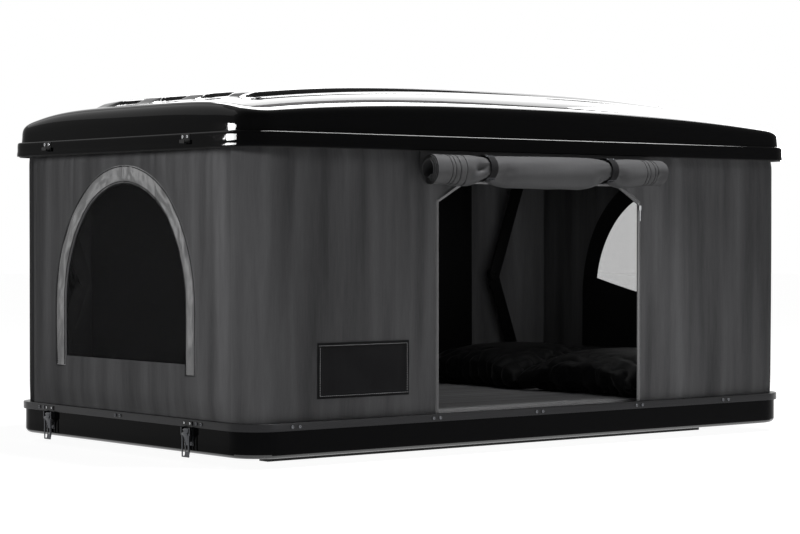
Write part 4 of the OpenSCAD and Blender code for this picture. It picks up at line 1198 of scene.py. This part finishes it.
def stuff(piece, pressure, cap, floor_z, shrink=-0.04):
    """Inflates a remeshed pad with the cloth solver, holding back any point that moves too far."""
    start = np.array([v.co for v in piece.data.vertices])
    scene = bpy.context.scene
    pick(piece)
    sim = piece.modifiers.new("cloth", "CLOTH")
    sim.settings.quality = 5
    sim.settings.mass = 0.2
    sim.settings.tension_stiffness = sim.settings.compression_stiffness = 12
    sim.settings.bending_stiffness = 0.05
    sim.settings.use_pressure = True
    sim.settings.uniform_pressure_force = pressure
    sim.settings.shrink_min = shrink
    sim.settings.effector_weights.gravity = 0
    sim.point_cache.frame_start, sim.point_cache.frame_end = 1, 20
    for f in range(1, 21):
        scene.frame_set(f)
    bpy.ops.object.modifier_apply(modifier=sim.name)
    scene.frame_set(1)
    now = np.array([v.co for v in piece.data.vertices])
    move = now - start
    far = np.linalg.norm(move, axis=1, keepdims=True)
    now = start + move * np.minimum(1, cap / np.maximum(far, 1e-9))
    now[:, 2] = np.maximum(now[:, 2], floor_z)
    piece.data.vertices.foreach_set("co", now.astype(np.float32).ravel())
    piece.data.update()


def unwrap_down(piece):
    """A UV map in metres, straight down, for the weave."""
    layer = piece.data.uv_layers.get("UVMap") or piece.data.uv_layers.new(name="UVMap")
    for loop in piece.data.loops:
        co = piece.data.vertices[loop.vertex_index].co
        layer.data[loop.index].uv = (co.x + 0.3 * co.z, co.y + 0.3 * co.z)


def build_pillow(name, node):
    low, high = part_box(node)
    size = high - low
    mid = (low + high) / 2
    piece = block(name, low, high)
    bpy.ops.object.mode_set(mode="EDIT")
    bpy.ops.mesh.select_all(action="SELECT")
    bpy.ops.mesh.subdivide(number_cuts=31)
    bpy.ops.object.mode_set(mode="OBJECT")
    # Drawn in towards the seam all round, and between the corners
    ear, seam, swell = 0.05, 0.20, 1.06
    for v in piece.data.vertices:
        u, w = 2 * (v.co.x - mid.x) / size.x, 2 * (v.co.y - mid.y) / size.y
        h = (v.co.z - low.z) / size.z
        sx = 1 - ear * (1 - w * w) * abs(u) ** 3
        sy = 1 - ear * (1 - u * u) * abs(w) ** 3
        plump = (max(0.0, 1 - abs(u) ** 2.6) * max(0.0, 1 - abs(w) ** 2.6)) ** 0.42
        up = seam + (1 - seam) * plump * swell
        down = seam * (1 - 0.93 * plump ** 0.7)
        z = low.z + size.z * (down + (up - down) * h)
        v.co = (mid.x + u * sx * size.x / 2 * 0.975, mid.y + w * sy * size.y / 2 * 0.985, z)
    apply(piece, "REMESH", mode="VOXEL", voxel_size=0.006)
    stuff(piece, 4.0, 0.012, low.z + 0.001, shrink=-0.10)
    apply(piece, "SUBSURF", levels=1, render_levels=1)
    # Puckers that run up from the seam
    ways = [v.normal.copy() for v in piece.data.vertices]
    for v, way in zip(piece.data.vertices, ways):
        edge = max(abs(2 * (v.co.x - mid.x) / size.x), abs(2 * (v.co.y - mid.y) / size.y))
        pucker = abs(noise.noise((v.co.x * 17, v.co.y * 17, v.co.z * 4))) - 0.2
        v.co += way * 0.020 * pucker * ease((edge - 0.45) / 0.35)
        v.co.z = max(v.co.z, low.z + 0.001)
    unwrap_down(piece)
    smooth(piece, 80)
    dress(piece, "quilt", "base", "black_cloth", node)
    return piece


def build_mattress():
    low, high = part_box("mattress")
    clear = 0.004
    piece = block("foam_mattress", (low.x + clear, low.y + clear, low.z + 0.001),
                  (high.x - clear, high.y - clear, high.z - clear))
    choose(piece, lambda e: abs(e.verts[0].co.z - e.verts[1].co.z) > 0.01, "edges")
    bpy.ops.mesh.bevel(offset=0.06, segments=8, affect="EDGES")
    bpy.ops.object.mode_set(mode="OBJECT")
    apply(piece, "BEVEL", width=0.012, segments=4, limit_method="ANGLE", angle_limit=math.radians(50))
    apply(piece, "REMESH", mode="VOXEL", voxel_size=0.008)
    top = high.z - clear
    for v in piece.data.vertices:
        # The cover lies in shallow creases along the bed, none at its edge
        edge = min(1.0, (HALF_W - 0.08 - abs(v.co.y)) / 0.10, (HALF_L - 0.05 - abs(v.co.x)) / 0.10)
        if v.co.z > top - 0.02 and edge > 0:
            v.co.z -= 0.0035 * (0.5 + 0.5 * noise.noise((v.co.x * 2.2, v.co.y * 26, 4.0))) * edge
    unwrap_down(piece)
    smooth(piece, 60)
    dress(piece, "cover", "base", "mattress_cover", "mattress")
    return piece


# Solid parts that keep their own shapes and get their finish

def paint_frame():
    looks = {"mount_channels": "arm", "base_brackets": "arm", "base_pins": "steel", "latch_plates": "steel",
             "latch_pins": "steel", "zip_sliders": "chrome", "lid_frame": "rail", "lid_seal": "rubber",
             "lid_brackets": "arm", "lid_pins": "steel", "lid_keepers": "arm"}
    for corner in CORNERS:
        looks.update({"lower_arm_" + corner: "arm", "upper_arm_" + corner: "arm", "bail_" + corner: "steel",
                      "gas_rod_" + corner: "chrome", "gas_tube_" + corner: "gas"})
    for name, finish in looks.items():
        data = nodes[name].data
        data.materials.clear()
        data.materials.append(paints[finish])
    shrink_with_walls(nodes["zip_sliders"])


set_camera()
set_light()
lay_floor()
paints = make_materials()
paint_frame()
dome_skin, rim_skin = build_lid()
tray = build_base()
build_screws()
walls = build_walls()
extras = build_windows()
zips = build_zips()
patch = build_patch()
build_rear_panel()
for side, (wall, pattern, width) in walls.items():
    shrink_with_walls(wall)
build_roll()
build_straps()
build_latches()
build_pillow("pillow_door_side", "pillow_front")
build_pillow("pillow_far_side", "pillow_rear")
build_mattress()
hang_lamps(dome_skin, rim_skin, tray, [walls["left"][0]] + extras["left"],
           [walls["front"][0], zips["front"]] + patch, [walls["rear"][0]])
